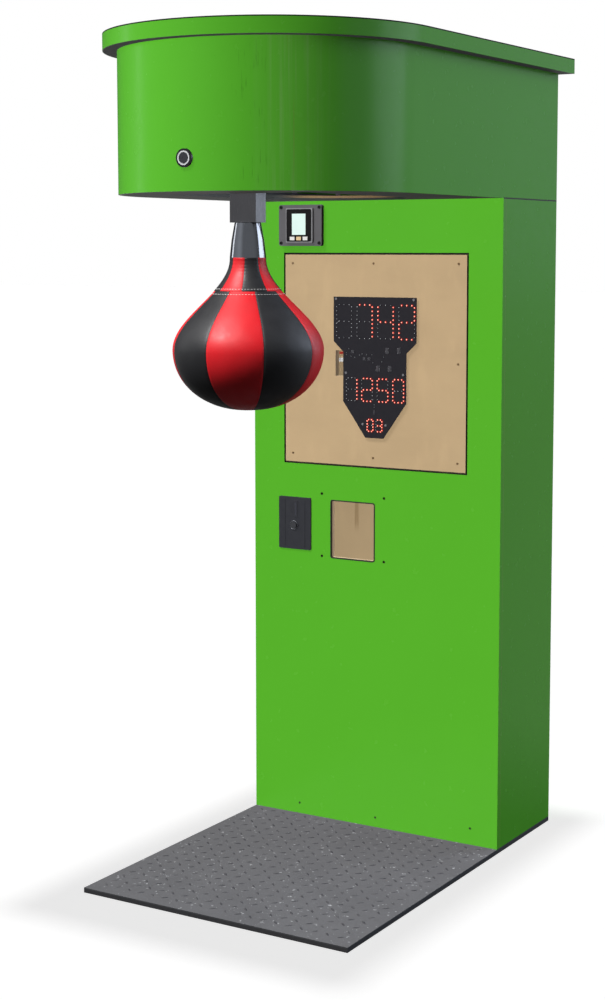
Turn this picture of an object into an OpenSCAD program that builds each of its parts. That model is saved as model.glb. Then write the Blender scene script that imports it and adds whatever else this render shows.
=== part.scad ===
// Strength tester: a punch ball on a swinging arm under a round-fronted hood,
// a tall board cabinet with a dot display and payment units, and a standing platform.
// Millimetres. X to the player's right, Y from the player to the machine, Z up.
// The origin is on the floor, in the plane of the cabinet's front, on the centre line.

/* [Cabinet] */
// Width of the cabinet, the hood and the platform
cabinet_width = 770; // [700:10:850]
// Depth of the cabinet from its front face to its back
cabinet_depth = 340; // [320:10:420]
// Height of the cabinet's top, which is also the hood's underside
cabinet_top = 1750; // [1730:10:1850]
// Thickness of the cabinet's boards
board = 18; // [15:1:20]
// Slit left around the flush panels and the door
panel_gap = 3; // [1:0.5:4]

/* [Platform] */
// How far the platform reaches in front of the cabinet
platform_reach = 800; // [700:10:900]
// Thickness of the platform's board
platform_board = 10; // [8:1:15]
// Thickness of the ribbed sheet on the platform
tread_sheet = 3; // [2:0.5:4]

/* [Hood] */
// Room between the bag's axis and the hood's front
hood_front_room = 260; // [240:5:300]
// Thickness of the hood's bent wall
hood_wall = 10; // [8:1:12]
// Height of the hood's wall
hood_wall_height = 345; // [330:5:380]
// Thickness of the board that closes the hood from below
hood_floor_board = 12; // [10:1:15]
// How far the lid stands out at the front and the sides
lid_overhang = 35; // [20:1:45]
// How far the lid stands out at the back
lid_back_overhang = 30; // [10:1:40]
// Whole height of the lid
lid_height = 40; // [35:1:50]
// Thickness of the painted band around the lid's edge
lid_band = 2; // [1:0.5:3]
// Thickness of the dark sheet on top of the lid
lid_sheet = 3; // [2:0.5:4]

/* [Bag] */
// Greatest radius of the ball
ball_radius = 184; // [170:1:195]
// Height of the ball from its widest level down to its lowest point
ball_depth = 146; // [130:1:160]
// Height of the ball from its widest level up to the skirt's hem
ball_shoulder = 143; // [130:1:155]
// Height of the skirt between its hem and the collar
skirt_height = 78; // [70:1:90]
// Thickness of the leather
leather = 3; // [2:0.5:4]
// Height of the tapered collar
collar_height = 86; // [70:1:100]
// Radius of the collar at its top
collar_top_radius = 32; // [28:1:34]
// Radius of the collar at its foot
collar_foot_radius = 44; // [40:1:50]
// Radius of the rod inside the bag
stem_radius = 12; // [10:1:16]

/* [Swing arm] */
// Width of the arm's tube
arm_width = 75; // [60:1:85]
// Depth of the arm's tube
arm_depth = 44; // [34:1:48]
// Wall of the arm's tube
arm_wall = 3; // [2:0.5:5]
// How far the arm hangs below the hood
arm_drop = 68; // [50:1:90]
// Greatest angle that the bag swings back and up
swing_max = 85; // [75:1:88]
// Gap between the raised ball and the cabinet's front face
swing_gap = 44; // [35:1:70]
// Radius of the pivot shaft
shaft_radius = 10; // [8:0.5:12]
// Height of the shaft's axis above the bearings' feet
bearing_height = 33; // [31:0.5:40]
// Radius of the bearings' inner unit
bearing_radius = 23.5; // [20:0.5:25]
// Radial play of turning parts
running_play = 0.05; // [0.02:0.01:0.08]
// Thickness of the steel rails that carry the bearings
rail_thickness = 10; // [8:1:14]
// Width of the steel rails
rail_width = 40; // [36:1:50]
// Distance of each rail's middle from the centre plane
rail_offset = 265; // [255:1:280]
// Radius of the slotted disc that measures the speed
disc_radius = 48; // [40:1:50]
// Number of slots in the speed disc
disc_slots = 24; // [12:1:36]

/* [Catch] */
// Angle that the hook turns to catch the raised arm
hook_angle = 25; // [20:1:28]
// Thickness of the hook
hook_thickness = 12; // [8:1:14]
// Distance from the pivot to the striker pin on the arm's top
striker_height = 50; // [46:1:55]
// Radius of the striker pin
striker_radius = 5; // [4:0.5:6]
// Height of the plunger above the hook's hinge
hook_lever = 30; // [26:1:34]
// Radius of the solenoid's plunger
plunger_radius = 5; // [4:0.5:7]

/* [Display] */
// Width of the display panel
display_width = 565; // [500:5:600]
// Height of the display panel
display_height = 580; // [500:5:620]
// Distance between the card terminal and the display panel below it
display_head = 22.5; // [12:0.5:60]
// Distance of the panel's screws from its edges
panel_screw_inset = 25; // [15:1:40]
// Distance of the dot board's middle from the centre plane
dot_board_x = 7.6; // [-10:0.2:20]
// Width of the dot board at its top
dot_board_width = 257; // [250:1:280]
// Width of the dot board's middle part
dot_board_waist = 196; // [190:1:210]
// Width of the dot board's foot
dot_board_foot = 56; // [50:1:70]
// Whole height of the dot board
dot_board_height = 384; // [380:1:400]
// Height of the dot board's top above the display panel's middle
dot_board_rise = 174.5; // [160:0.5:185]
// Length of the spacers behind the dot board
spacer_length = 6; // [4:0.5:10]
// Thickness of the dot board
dot_board_thickness = 2; // [1.6:0.2:3]
// Radius of one light dot
dot_radius = 2.4; // [1.8:0.1:2.6]
// How far a light dot stands out of the board
dot_height = 3; // [2:0.5:5]

/* [Payment units] */
// Width of the card terminal's plate
terminal_width = 138; // [120:1:150]
// Height of the card terminal's plate
terminal_height = 113; // [105:1:125]
// Distance of the card terminal's plate from the cabinet's top
terminal_head = 10; // [6:1:20]
// Thickness of the card terminal's plate
terminal_plate = 12; // [8:1:16]
// Width of the coin plate
coin_plate_width = 105; // [95:1:115]
// Height of the coin plate
coin_plate_height = 148; // [140:1:160]
// Thickness of the coin plate
coin_plate_thickness = 4; // [3:0.5:6]
// Width of the spare opening beside the coin plate
window_width = 137; // [120:1:145]
// Height of the spare opening
window_height = 160; // [140:1:165]
// Distance between the display panel and the spare opening below it
window_drop = 102; // [80:1:130]
// Distance between the spare opening's bolt holes, side to side
bolt_span_x = 198; // [180:1:204]
// Distance between the spare opening's bolt holes, up and down
bolt_span_z = 176; // [170:1:200]
// Radius of those bolt holes
bolt_hole_radius = 3; // [2:0.5:4.5]

/* [Rear door] */
// Width of the service door
door_width = 560; // [480:10:600]
// Height of the service door
door_height = 1150; // [1000:10:1300]
// Height of the door's lower edge above the platform
door_sill = 150; // [120:10:250]
// Radius of the hinge knuckles
knuckle_radius = 6; // [5:0.5:8]
// Radius of the hinge pins
hinge_pin_radius = 2.5; // [2:0.25:3.5]

/* [Hidden] */
$fn = 64;

// Levels above the floor
base_top = platform_board + tread_sheet;
hood_inside = cabinet_top + hood_floor_board;
lid_bottom = cabinet_top + hood_wall_height;
lid_top = lid_bottom + lid_height;
rail_top = hood_inside + rail_thickness;
pivot_z = rail_top + bearing_height;
arm_bottom = cabinet_top - arm_drop;
arm_top = pivot_z + 30;
collar_bottom = arm_bottom - collar_height;
skirt_hem = collar_bottom - skirt_height;
ball_level = skirt_hem - ball_shoulder;
ball_bottom = ball_level - ball_depth;

// Places from front to back
swing_radius = pivot_z - ball_bottom;
bag_reach = swing_radius + swing_gap;
hood_reach = bag_reach + hood_front_room;
half_width = cabinet_width / 2;
hood_centre_y = half_width - hood_reach;
edge = 0.01;

// A box between two corners
module block(x, y, z) {
    translate([x[0], y[0], z[0]])
        cube([x[1] - x[0], y[1] - y[0], z[1] - z[0]]);
}

// A round bar along X
module bar_x(x, y, z, r) {
    translate([x[0], y, z])
        rotate([0, 90, 0])
            cylinder(r = r, h = x[1] - x[0]);
}

// A round bar along Y
module bar_y(x, y, z, r) {
    translate([x, y[0], z])
        rotate([-90, 0, 0])
            cylinder(r = r, h = y[1] - y[0]);
}

// A rectangle with round corners, centred
module rounded_rectangle(w, h, r) {
    square([w - 2 * r, h], center = true);
    square([w, h - 2 * r], center = true);
    for (sx = [-1, 1], sy = [-1, 1])
        translate([sx * (w / 2 - r), sy * (h / 2 - r)])
            circle(r = r);
}

// An upright plate with round corners, between two depths
module upright_plate(x, z, w, h, r, y) {
    translate([x, y[1], z])
        rotate([90, 0, 0])
            linear_extrude(y[1] - y[0])
                rounded_rectangle(w, h, r);
}

// A plate lying in a plane across X, drawn in (y, z)
module side_profile(x0, x1) {
    translate([x0, 0, 0])
        rotate([90, 0, 90])
            linear_extrude(x1 - x0)
                children();
}

// Outline of the hood seen from above, grown by some amount, up to a back line
module hood_outline(grow, back) {
    translate([0, hood_centre_y])
        circle(r = half_width + grow, $fn = 96);
    translate([-half_width - grow, hood_centre_y])
        square([cabinet_width + 2 * grow, back - hood_centre_y]);
}

/* Platform */

module base_board() {
    color("#2c2c2e")
        block([-half_width, half_width], [-platform_reach, cabinet_depth], [0, platform_board]);
}

module tread_sheet_cover() {
    color("#6c6e70")
        block([-half_width, half_width], [-platform_reach, cabinet_depth],
            [platform_board, base_top]);
}

/* Cabinet */

terminal_x = -226.5;
terminal_z = cabinet_top - terminal_head - terminal_height / 2;
display_z = terminal_z - terminal_height / 2 - display_head - display_height / 2;
window_x = -64.5;
window_z = display_z - display_height / 2 - window_drop - window_height / 2;
bolt_z = window_z + 9.5;
terminal_body_width = terminal_width - 30;
terminal_body_height = terminal_height - 30;
coin_x = -250;
coin_z = window_z + 8.5;
coin_body_width = coin_plate_width - 17;
coin_body_height = coin_plate_height - 20;
body_play = 1;

module window_bolts(y) {
    for (sx = [-1, 1], sz = [-1, 1])
        bar_y(window_x + sx * bolt_span_x / 2, y, bolt_z + sz * bolt_span_z / 2,
            bolt_hole_radius);
}

module front_panel() {
    color("#59af2c")
        difference() {
            block([-half_width, half_width], [0, board], [base_top, cabinet_top]);
            block([-1, 1] * (display_width / 2 + panel_gap), [-edge, board + edge],
                [display_z, display_z] + [-1, 1] * (display_height / 2 + panel_gap));
            upright_plate(window_x, window_z, window_width, window_height, 5,
                [-edge, board + edge]);
            window_bolts([-edge, board + edge]);
            block([terminal_x, terminal_x] + [-1, 1] * (terminal_body_width / 2 + body_play),
                [-edge, board + edge],
                [terminal_z, terminal_z] + [-1, 1] * (terminal_body_height / 2 + body_play));
            block([coin_x, coin_x] + [-1, 1] * (coin_body_width / 2 + body_play),
                [-edge, board + edge],
                [coin_z, coin_z] + [-1, 1] * (coin_body_height / 2 + body_play));
        }
}

module side_panels() {
    color("#3c732d")
        for (s = [-1, 1])
            block([-board / 2, board / 2] + [s, s] * (half_width - board / 2),
                [board, cabinet_depth], [base_top, cabinet_top]);
}

trim_lip = 2.6;
trim_rise = 1.2;
trim_lining = 0.8;
trim_depth = 5;

// A dark edging strip pushed over the spare opening's rim
module window_trim() {
    color("#1c1f1c")
        difference() {
            union() {
                upright_plate(window_x, window_z, window_width + 2 * trim_lip,
                    window_height + 2 * trim_lip, 7, [-trim_rise, 0]);
                upright_plate(window_x, window_z, window_width, window_height, 5,
                    [-edge, trim_depth]);
            }
            upright_plate(window_x, window_z, window_width - 2 * trim_lining,
                window_height - 2 * trim_lining, 4.2, [-trim_rise - edge, trim_depth + edge]);
        }
}

door_bottom = base_top + door_sill;
door_middle = door_bottom + door_height / 2;
back_y = cabinet_depth - board;
inlet_x = 0;
inlet_z = base_top + door_sill / 2;
inlet_width = 54;
inlet_height = 28;

module back_frame() {
    color("#4d8546")
        difference() {
            block([board - half_width, half_width - board], [back_y, cabinet_depth],
                [base_top, cabinet_top]);
            block([-1, 1] * (door_width / 2 + panel_gap), [back_y - edge, cabinet_depth + edge],
                [door_bottom - panel_gap, door_bottom + door_height + panel_gap]);
            block([inlet_x, inlet_x] + [-1, 1] * (inlet_width / 2 + body_play),
                [back_y - edge, cabinet_depth + edge],
                [inlet_z, inlet_z] + [-1, 1] * (inlet_height / 2 + body_play));
        }
}

lock_x = door_width / 2 - 35;
lock_radius = 9;
plug_radius = 6;

module rear_door() {
    color("#4d8546")
        difference() {
            block([-1, 1] * door_width / 2, [back_y, cabinet_depth],
                [door_bottom, door_bottom + door_height]);
            bar_y(lock_x, [back_y - edge, cabinet_depth + edge], door_middle, lock_radius);
        }
}

hinge_x = -door_width / 2 - panel_gap / 2;
hinge_y = cabinet_depth + knuckle_radius;
hinge_length = 80;
hinge_leaf = 2.5;
leaf_width = 38;
knuckle_gap = 0.4;
hinge_places = [door_bottom + 120, door_middle, door_bottom + door_height - 120];

// One leaf of a hinge: side -1 is on the frame, side 1 on the door
module hinge_leaf_plate(side, z) {
    block(side < 0 ? [hinge_x - leaf_width, hinge_x - knuckle_radius - knuckle_gap]
                   : [hinge_x + knuckle_radius + knuckle_gap, hinge_x + leaf_width],
        [cabinet_depth, cabinet_depth + hinge_leaf], [z - hinge_length / 2, z + hinge_length / 2]);
}

// A knuckle with the tongue that joins it to its leaf
module knuckle(side, z0, z1, bore) {
    difference() {
        union() {
            translate([hinge_x, hinge_y, z0])
                cylinder(r = knuckle_radius, h = z1 - z0);
            block(side < 0 ? [hinge_x - knuckle_radius - 1, hinge_x]
                           : [hinge_x, hinge_x + knuckle_radius + 1],
                [cabinet_depth, cabinet_depth + hinge_leaf], [z0, z1]);
        }
        translate([hinge_x, hinge_y, z0 - edge])
            cylinder(r = bore, h = z1 - z0 + 2 * edge);
    }
}

module door_frame_hinges() {
    color("#a8aaad")
        for (z = hinge_places) {
            hinge_leaf_plate(-1, z);
            for (s = [-1, 1])
                knuckle(-1, z + s * hinge_length / 3 - hinge_length / 6 + knuckle_gap / 2,
                    z + s * hinge_length / 3 + hinge_length / 6 - knuckle_gap / 2,
                    hinge_pin_radius);
            translate([hinge_x, hinge_y, z - hinge_length / 2 - 2])
                cylinder(r = hinge_pin_radius, h = hinge_length + 4);
        }
}

module door_leaf_hinges() {
    color("#a8aaad")
        for (z = hinge_places) {
            hinge_leaf_plate(1, z);
            knuckle(1, z - hinge_length / 6 + knuckle_gap / 2,
                z + hinge_length / 6 - knuckle_gap / 2, hinge_pin_radius + running_play);
        }
}

cam_thickness = 3;
cam_length = 58;
cam_width = 16;
cam_y = back_y - 2 - cam_thickness;

module lock_barrel() {
    color("#c2c4c6")
        difference() {
            union() {
                bar_y(lock_x, [back_y - 1, cabinet_depth], door_middle, lock_radius);
                bar_y(lock_x, [cabinet_depth, cabinet_depth + 2.5], door_middle, lock_radius + 4);
            }
            bar_y(lock_x, [back_y - 2, cabinet_depth + 3], door_middle,
                plug_radius + running_play);
        }
}

module lock_cam() {
    color("#c2c4c6") {
        difference() {
            bar_y(lock_x, [cam_y, cabinet_depth + 2], door_middle, plug_radius);
            block([lock_x - 0.7, lock_x + 0.7], [cabinet_depth - 8, cabinet_depth + 3],
                [door_middle - 3.5, door_middle + 3.5]);
        }
        difference() {
            union() {
                bar_y(lock_x, [cam_y, cam_y + cam_thickness], door_middle, cam_width / 2);
                block([lock_x - cam_width / 2, lock_x + cam_width / 2],
                    [cam_y, cam_y + cam_thickness],
                    [door_middle - cam_length + cam_width / 2, door_middle]);
            }
            bar_y(lock_x, [cam_y - edge, cam_y + cam_thickness + edge], door_middle, 2);
        }
    }
}

/* Display */

batten = 20;
ledger_width = 30;
ledger_top = min(display_z + display_height / 2 + ledger_width, cabinet_top);
pocket_plate = 6;
pocket_margin = 12;

// Square battens join the boards at the corners, a frame of ledgers backs the display panel,
// and a thin plate closes its wiring slot from behind
module inner_battens() {
    color("#b08d5e") {
        for (s = [-1, 1])
            for (y = [board, back_y - batten])
                block([-batten / 2, batten / 2] + [s, s] * (half_width - board - batten / 2),
                    [y, y + batten], [base_top, cabinet_top]);
        difference() {
            block([-1, 1] * (display_width / 2 + ledger_width), [board, 2 * board],
                [display_z - display_height / 2 - ledger_width, ledger_top]);
            block([-1, 1] * (display_width / 2 - ledger_width), [board - edge, 2 * board + edge],
                [display_z, display_z] + [-1, 1] * (display_height / 2 - ledger_width));
        }
        block([slot_left - pocket_margin, slot_right + pocket_margin],
            [board, board + pocket_plate],
            [slot_z, slot_z] + [-1, 1] * (slot_height / 2 + pocket_margin));
    }
}

slot_height = 71;
slot_z = display_z - 8.5;
slot_left = dot_board_x - dot_board_waist / 2 - 29;
slot_right = slot_left + 46;
panel_screw_radius = 3.2;
panel_screw_rise = 1.2;
panel_screw_places = [
    for (ix = [-1, 0, 1], iz = [-1, 0, 1])
        if (ix != 0 || iz != 0)
            [ix * (display_width / 2 - panel_screw_inset),
             display_z + iz * (display_height / 2 - panel_screw_inset)]
];

module display_panel() {
    color("#c8aa82")
        difference() {
            block([-1, 1] * display_width / 2, [0, board],
                [display_z, display_z] + [-1, 1] * display_height / 2);
            block([slot_left, slot_right], [-edge, board + edge],
                [slot_z - slot_height / 2, slot_z + slot_height / 2]);
        }
}

// Screws that hold the cabinet front's foot, above the platform
foot_screw_places = [
    [-237, base_top + 30], [10, base_top + 27], [304, base_top + 45]
];

// A screw's head with a cross recess, standing out of the front by some amount
module cross_screw(p, rise) {
    difference() {
        bar_y(p[0], [-rise, 0], p[1], panel_screw_radius);
        block([p[0] - 2, p[0] + 2], [-2, -rise / 2], [p[1] - 0.5, p[1] + 0.5]);
        block([p[0] - 0.5, p[0] + 0.5], [-2, -rise / 2], [p[1] - 2, p[1] + 2]);
    }
}

// All screws seen from the front: the display panel's, the front's foot's and the terminal's,
// whose socket heads stand at the bottom of the plate's corner pockets
module front_screws() {
    color("#6b6b6e") {
        for (p = panel_screw_places)
            cross_screw(p, panel_screw_rise);
        for (p = foot_screw_places)
            cross_screw(p, panel_screw_rise / 2);
        difference() {
            terminal_corners([-terminal_plate / 2 - 4, -terminal_plate / 2],
                terminal_screw_radius);
            terminal_corners([-terminal_plate / 2 - 5, -terminal_plate / 2 - 1.5],
                terminal_socket_radius);
        }
    }
}

dot_board_y = [-spacer_length - dot_board_thickness, -spacer_length];
dot_board_top = display_z + dot_board_rise;
dot_board_bottom = dot_board_top - dot_board_height;

// Half widths and heights that shape the board like an arrow head pointing down
dot_board_half = [
    [dot_board_width / 2, dot_board_top],
    [dot_board_width / 2, dot_board_top - 0.317 * dot_board_height],
    [dot_board_waist / 2, dot_board_top - 0.392 * dot_board_height],
    [dot_board_waist / 2, dot_board_top - 0.745 * dot_board_height],
    [dot_board_foot / 2, dot_board_bottom]
];
board_screw_places = [
    [dot_board_x - dot_board_width / 2 + 8, dot_board_top - 6],
    [dot_board_x + dot_board_width / 2 - 8, dot_board_top - 6],
    [dot_board_x - dot_board_waist / 2 + 9, dot_board_top - 0.542 * dot_board_height],
    [dot_board_x + dot_board_waist / 2 - 9, dot_board_top - 0.542 * dot_board_height],
    [dot_board_x - 36, dot_board_bottom + 37],
    [dot_board_x + 36, dot_board_bottom + 37]
];

module dot_board() {
    color("#2a2a2e")
        translate([dot_board_x, dot_board_y[1], 0])
            rotate([90, 0, 0])
                linear_extrude(dot_board_thickness)
                    polygon(concat(
                        dot_board_half,
                        [for (i = [len(dot_board_half) - 1:-1:0])
                            [-dot_board_half[i][0], dot_board_half[i][1]]]
                    ));
}

module board_spacers() {
    color("#cfd1d4")
        for (p = board_screw_places) {
            bar_y(p[0], [-spacer_length, 0], p[1], 3);
            bar_y(p[0], [dot_board_y[0] - 1.8, dot_board_y[0]], p[1], 3.2);
        }
}

// Segments a to g of each figure, 1 where lit
figure_segments = [
    ["0", [1, 1, 1, 1, 1, 1, 0]],
    ["1", [0, 1, 1, 0, 0, 0, 0]],
    ["2", [1, 1, 0, 1, 1, 0, 1]],
    ["3", [1, 1, 1, 1, 0, 0, 1]],
    ["4", [0, 1, 1, 0, 0, 1, 1]],
    ["5", [1, 0, 1, 1, 0, 1, 1]],
    ["7", [1, 1, 1, 0, 0, 0, 0]],
    [" ", [0, 0, 0, 0, 0, 0, 0]]
];
function segments_of(figure) = [for (f = figure_segments) if (f[0] == figure) f[1]][0];

// Rows of figures: text, left edge, pitch, level below the board's top, width, height, dots
// across, dots up. Sizes across are shares of the board's width, those up of its height
dot_rows = [
    [" 742", -0.4576, 0.2518, 0.1745, 0.1829, 0.237, 3, 4],
    ["1250", -0.3358, 0.1879, 0.6578, 0.1284, 0.1615, 3, 3],
    ["03", -0.0802, 0.1082, 0.9102, 0.07, 0.0833, 2, 2]
];

// Dot places of one segment in a figure's box of width w and height h
function segment_dots(i, w, h, across, up) =
    i == 0 || i == 3 || i == 6
        ? [for (k = [0:across - 1])
            [(k + 0.5) / across * w, i == 0 ? h / 2 : i == 3 ? -h / 2 : 0]]
        : [for (k = [0:up - 1])
            [i == 1 || i == 2 ? w : 0,
             ((i == 1 || i == 5 ? 0 : -1) + (k + 0.5) / up) * h / 2]];

function dots(lit) = [
    for (row = dot_rows, c = [0:len(row[0]) - 1], i = [0:6])
        if (segments_of(row[0][c])[i] == lit)
            for (d = segment_dots(i, row[4] * dot_board_width, row[5] * dot_board_height,
                    row[6], row[7]))
                [dot_board_x + (row[1] + c * row[2]) * dot_board_width + d[0],
                 dot_board_top - row[3] * dot_board_height + d[1]]
];

module dot_lights(lit, r) {
    for (p = dots(lit))
        bar_y(p[0], [dot_board_y[0] - dot_height, dot_board_y[0]], p[1], r);
}

module lit_dots() {
    color("#ff3a30")
        dot_lights(1, dot_radius);
}

module unlit_dots() {
    color("#8f9096")
        dot_lights(0, dot_radius * 0.6);
}

// The white and the red plug of the dot board's cable, in the wiring slot
module wiring_plug() {
    color("#d8d8d8") {
        block([slot_left + 6, slot_right - 2], [board - 11, board], [slot_z + 4, slot_z + 14]);
        block([slot_left + 6, slot_right - 2], [board - 8, board], [slot_z + 25, slot_z + 31]);
    }
}

recess_board = 12;
recess_margin = 22;

module recess_back_board() {
    color("#a8916f")
        difference() {
            block([window_x, window_x] + [-1, 1] * (window_width / 2 + recess_margin),
                [board, board + recess_board],
                [window_z, window_z] + [-1, 1] * (window_height / 2 + recess_margin));
            window_bolts([board - edge, board + recess_board + edge]);
        }
}

/* Card terminal */

bezel_width = terminal_width - 49.5;
bezel_height = terminal_height - 15;
bezel_rise = 6;
bezel_rim = 4.5;
glass_rise = 1.5;
screen_width = 44;
screen_height = 58;
screen_z = terminal_z + 3;
key_width = 15;
key_height = 10;
key_space = 6;
key_drop = 41;
terminal_body_depth = 55;
terminal_screw_inset = 7.5;
terminal_pocket_radius = 5.4;
terminal_screw_radius = 4.4;
terminal_socket_radius = 2;

// The places of the four corner screws in the terminal's plate, as bars between two depths
module terminal_corners(y, r) {
    for (sx = [-1, 1], sz = [-1, 1])
        bar_y(terminal_x + sx * (terminal_width / 2 - terminal_screw_inset), y,
            terminal_z + sz * (terminal_height / 2 - terminal_screw_inset), r);
}

module terminal_housing() {
    color("#666468")
        difference() {
            union() {
                upright_plate(terminal_x, terminal_z, terminal_width, terminal_height, 6,
                    [-terminal_plate, 0]);
                upright_plate(terminal_x, terminal_z, bezel_width, bezel_height, 6,
                    [-terminal_plate - bezel_rise, -terminal_plate]);
                block([terminal_x, terminal_x] + [-1, 1] * terminal_body_width / 2,
                    [-edge, terminal_body_depth],
                    [terminal_z, terminal_z] + [-1, 1] * terminal_body_height / 2);
            }
            upright_plate(terminal_x, terminal_z, bezel_width - 2 * bezel_rim,
                bezel_height - 2 * bezel_rim, 4,
                [-terminal_plate - bezel_rise - edge, -terminal_plate]);
            terminal_corners([-terminal_plate - edge, -terminal_plate / 2],
                terminal_pocket_radius);
        }
}

glass_front = -terminal_plate - bezel_rise - glass_rise;

module terminal_glass() {
    color("#151518")
        difference() {
            upright_plate(terminal_x, terminal_z, bezel_width - 2 * bezel_rim,
                bezel_height - 2 * bezel_rim, 4, [glass_front, -terminal_plate]);
            block([terminal_x, terminal_x] + [-1, 1] * screen_width / 2,
                [glass_front - edge, glass_front + 1],
                [screen_z, screen_z] + [-1, 1] * screen_height / 2);
        }
}

// The lit screen, and the three plain key fields below it
module terminal_screen() {
    color("#dff5ea") {
        block([terminal_x, terminal_x] + [-1, 1] * screen_width / 2,
            [glass_front + 0.2, glass_front + 1],
            [screen_z, screen_z] + [-1, 1] * screen_height / 2);
        for (k = [-1, 0, 1])
            block([terminal_x, terminal_x] + [-1, 1] * key_width / 2
                    + [k, k] * (key_width + key_space),
                [glass_front - 0.8, glass_front],
                [terminal_z - key_drop, terminal_z - key_drop + key_height]);
    }
}

/* Coin unit */

button_x = coin_x - 2;
button_z = coin_z - 6;
return_radius = 9.5;
return_travel = 4;
slot_x = coin_x + 3;
coin_slot_z = coin_z + 40;
coin_slot_width = 3.4;
coin_slot_height = 37;
entry_rise = 1.2;
mechanism_depth = 85;

// The slot that a coin passes, between two depths
module coin_slot(y) {
    block([slot_x - coin_slot_width / 2, slot_x + coin_slot_width / 2], y,
        [coin_slot_z - coin_slot_height / 2, coin_slot_z + coin_slot_height / 2]);
}

module coin_plate() {
    color("#34363a")
        difference() {
            union() {
                upright_plate(coin_x, coin_z, coin_plate_width, coin_plate_height, 4,
                    [-coin_plate_thickness, 0]);
                upright_plate(slot_x, coin_slot_z, 14, coin_slot_height + 12, 6,
                    [-coin_plate_thickness - entry_rise, -coin_plate_thickness]);
                bar_y(button_x, [-coin_plate_thickness - 2, -coin_plate_thickness], button_z,
                    return_radius + 4);
                for (s = [-1, 1])
                    block([-1, 1] + [coin_x, coin_x] + [s, s] * (coin_plate_width / 2 - 20),
                        [-coin_plate_thickness - 1, -coin_plate_thickness],
                        [coin_z, coin_z] + [-1, 1] * (coin_plate_height / 2 - 8));
            }
            coin_slot([-coin_plate_thickness - entry_rise - edge, edge]);
            bar_y(button_x, [-coin_plate_thickness - 3, edge], button_z, return_radius + 0.3);
        }
}

module coin_return_button() {
    color("#8c8f94") {
        bar_y(button_x, [-coin_plate_thickness - 6, 2], button_z, return_radius);
        bar_y(button_x, [2, 3.5], button_z, return_radius + 2.5);
    }
}

module coin_mechanism() {
    color("#3b3d40")
        difference() {
            block([coin_x, coin_x] + [-1, 1] * coin_body_width / 2, [0, mechanism_depth],
                [coin_z, coin_z] + [-1, 1] * coin_body_height / 2);
            coin_slot([-edge, mechanism_depth - 8]);
            bar_y(button_x, [-edge, 3.5 + return_travel + 1], button_z, return_radius + 3);
        }
}

chute_width = 60;
chute_depth = 16;
chute_wall = 2;
chute_y = [mechanism_depth - chute_depth - 10, mechanism_depth - 10];
box_height = 240;
box_top = base_top + box_height;
chute_bottom = box_top + 25;
chute_top = coin_z - coin_body_height / 2;

// A straight fall pipe of sheet, open at the foot and below the mechanism
module coin_chute() {
    color("#b9bcc0")
        difference() {
            block([coin_x, coin_x] + [-1, 1] * chute_width / 2, chute_y,
                [chute_bottom, chute_top]);
            block([coin_x, coin_x] + [-1, 1] * (chute_width / 2 - chute_wall),
                [chute_y[0] + chute_wall, chute_y[1] - chute_wall],
                [chute_bottom - edge, chute_top + edge]);
        }
}

box_width = 150;
box_depth = 200;
box_wall = 2;
box_y = 45;

module cash_box() {
    color("#7d8084")
        difference() {
            union() {
                block([coin_x, coin_x] + [-1, 1] * box_width / 2, [box_y, box_y + box_depth],
                    [base_top, box_top]);
                block([coin_x, coin_x] + [-1, 1] * 40, [box_y + box_depth, box_y + box_depth + 14],
                    [box_top - 70, box_top - 60]);
            }
            block([coin_x, coin_x] + [-1, 1] * (box_width / 2 - box_wall),
                [box_y + box_wall, box_y + box_depth - box_wall],
                [base_top + box_wall, box_top + edge]);
        }
}

/* Electrics */

supply_size = [60, 110, 200];
supply_z = door_middle - supply_size[2] - 5;

module power_supply() {
    color("#a9adb0")
        difference() {
            union() {
                block([half_width - board - supply_size[0], half_width - board],
                    [cabinet_depth / 2, cabinet_depth / 2 + supply_size[1]],
                    [supply_z, supply_z + supply_size[2]]);
                block([half_width - board - 3, half_width - board],
                    [cabinet_depth / 2, cabinet_depth / 2 + supply_size[1]],
                    [supply_z - 14, supply_z + supply_size[2] + 14]);
            }
            for (k = [0:7])
                block([half_width - board - supply_size[0] - edge,
                        half_width - board - supply_size[0] + 1.2],
                    [cabinet_depth / 2 + 15, cabinet_depth / 2 + supply_size[1] - 15],
                    [supply_z + 40 + k * 16, supply_z + 48 + k * 16]);
        }
}

control_size = [160, 220];
control_z = door_middle - control_size[1] / 2 + 5;
control_x = board - half_width + 8;

module control_board() {
    color("#2f6a45") {
        block([control_x, control_x + 1.6],
            [cabinet_depth / 2 - control_size[0] / 2 + 20, cabinet_depth / 2
                + control_size[0] / 2 + 20],
            [control_z, control_z + control_size[1]]);
        for (sy = [-1, 1], sz = [-1, 1])
            bar_x([board - half_width, control_x],
                cabinet_depth / 2 + 20 + sy * (control_size[0] / 2 - 8),
                control_z + control_size[1] / 2 + sz * (control_size[1] / 2 - 8), 4);
        block([control_x + 1.6, control_x + 26], [cabinet_depth / 2 - 30, cabinet_depth / 2 + 50],
            [control_z + 20, control_z + 60]);
        for (k = [0:3])
            block([control_x + 1.6, control_x + 12],
                [cabinet_depth / 2 - 45 + k * 32, cabinet_depth / 2 - 23 + k * 32],
                [control_z + control_size[1] - 24, control_z + control_size[1] - 8]);
        block([control_x + 1.6, control_x + 6], [cabinet_depth / 2, cabinet_depth / 2 + 36],
            [control_z + 100, control_z + 136]);
    }
}

socket_x = inlet_x - 12;
socket_depth = 15;
rocker_x = inlet_x + 15;
rocker_half = [5.5, 9];
rocker_pivot_y = cabinet_depth - 1;

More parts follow.
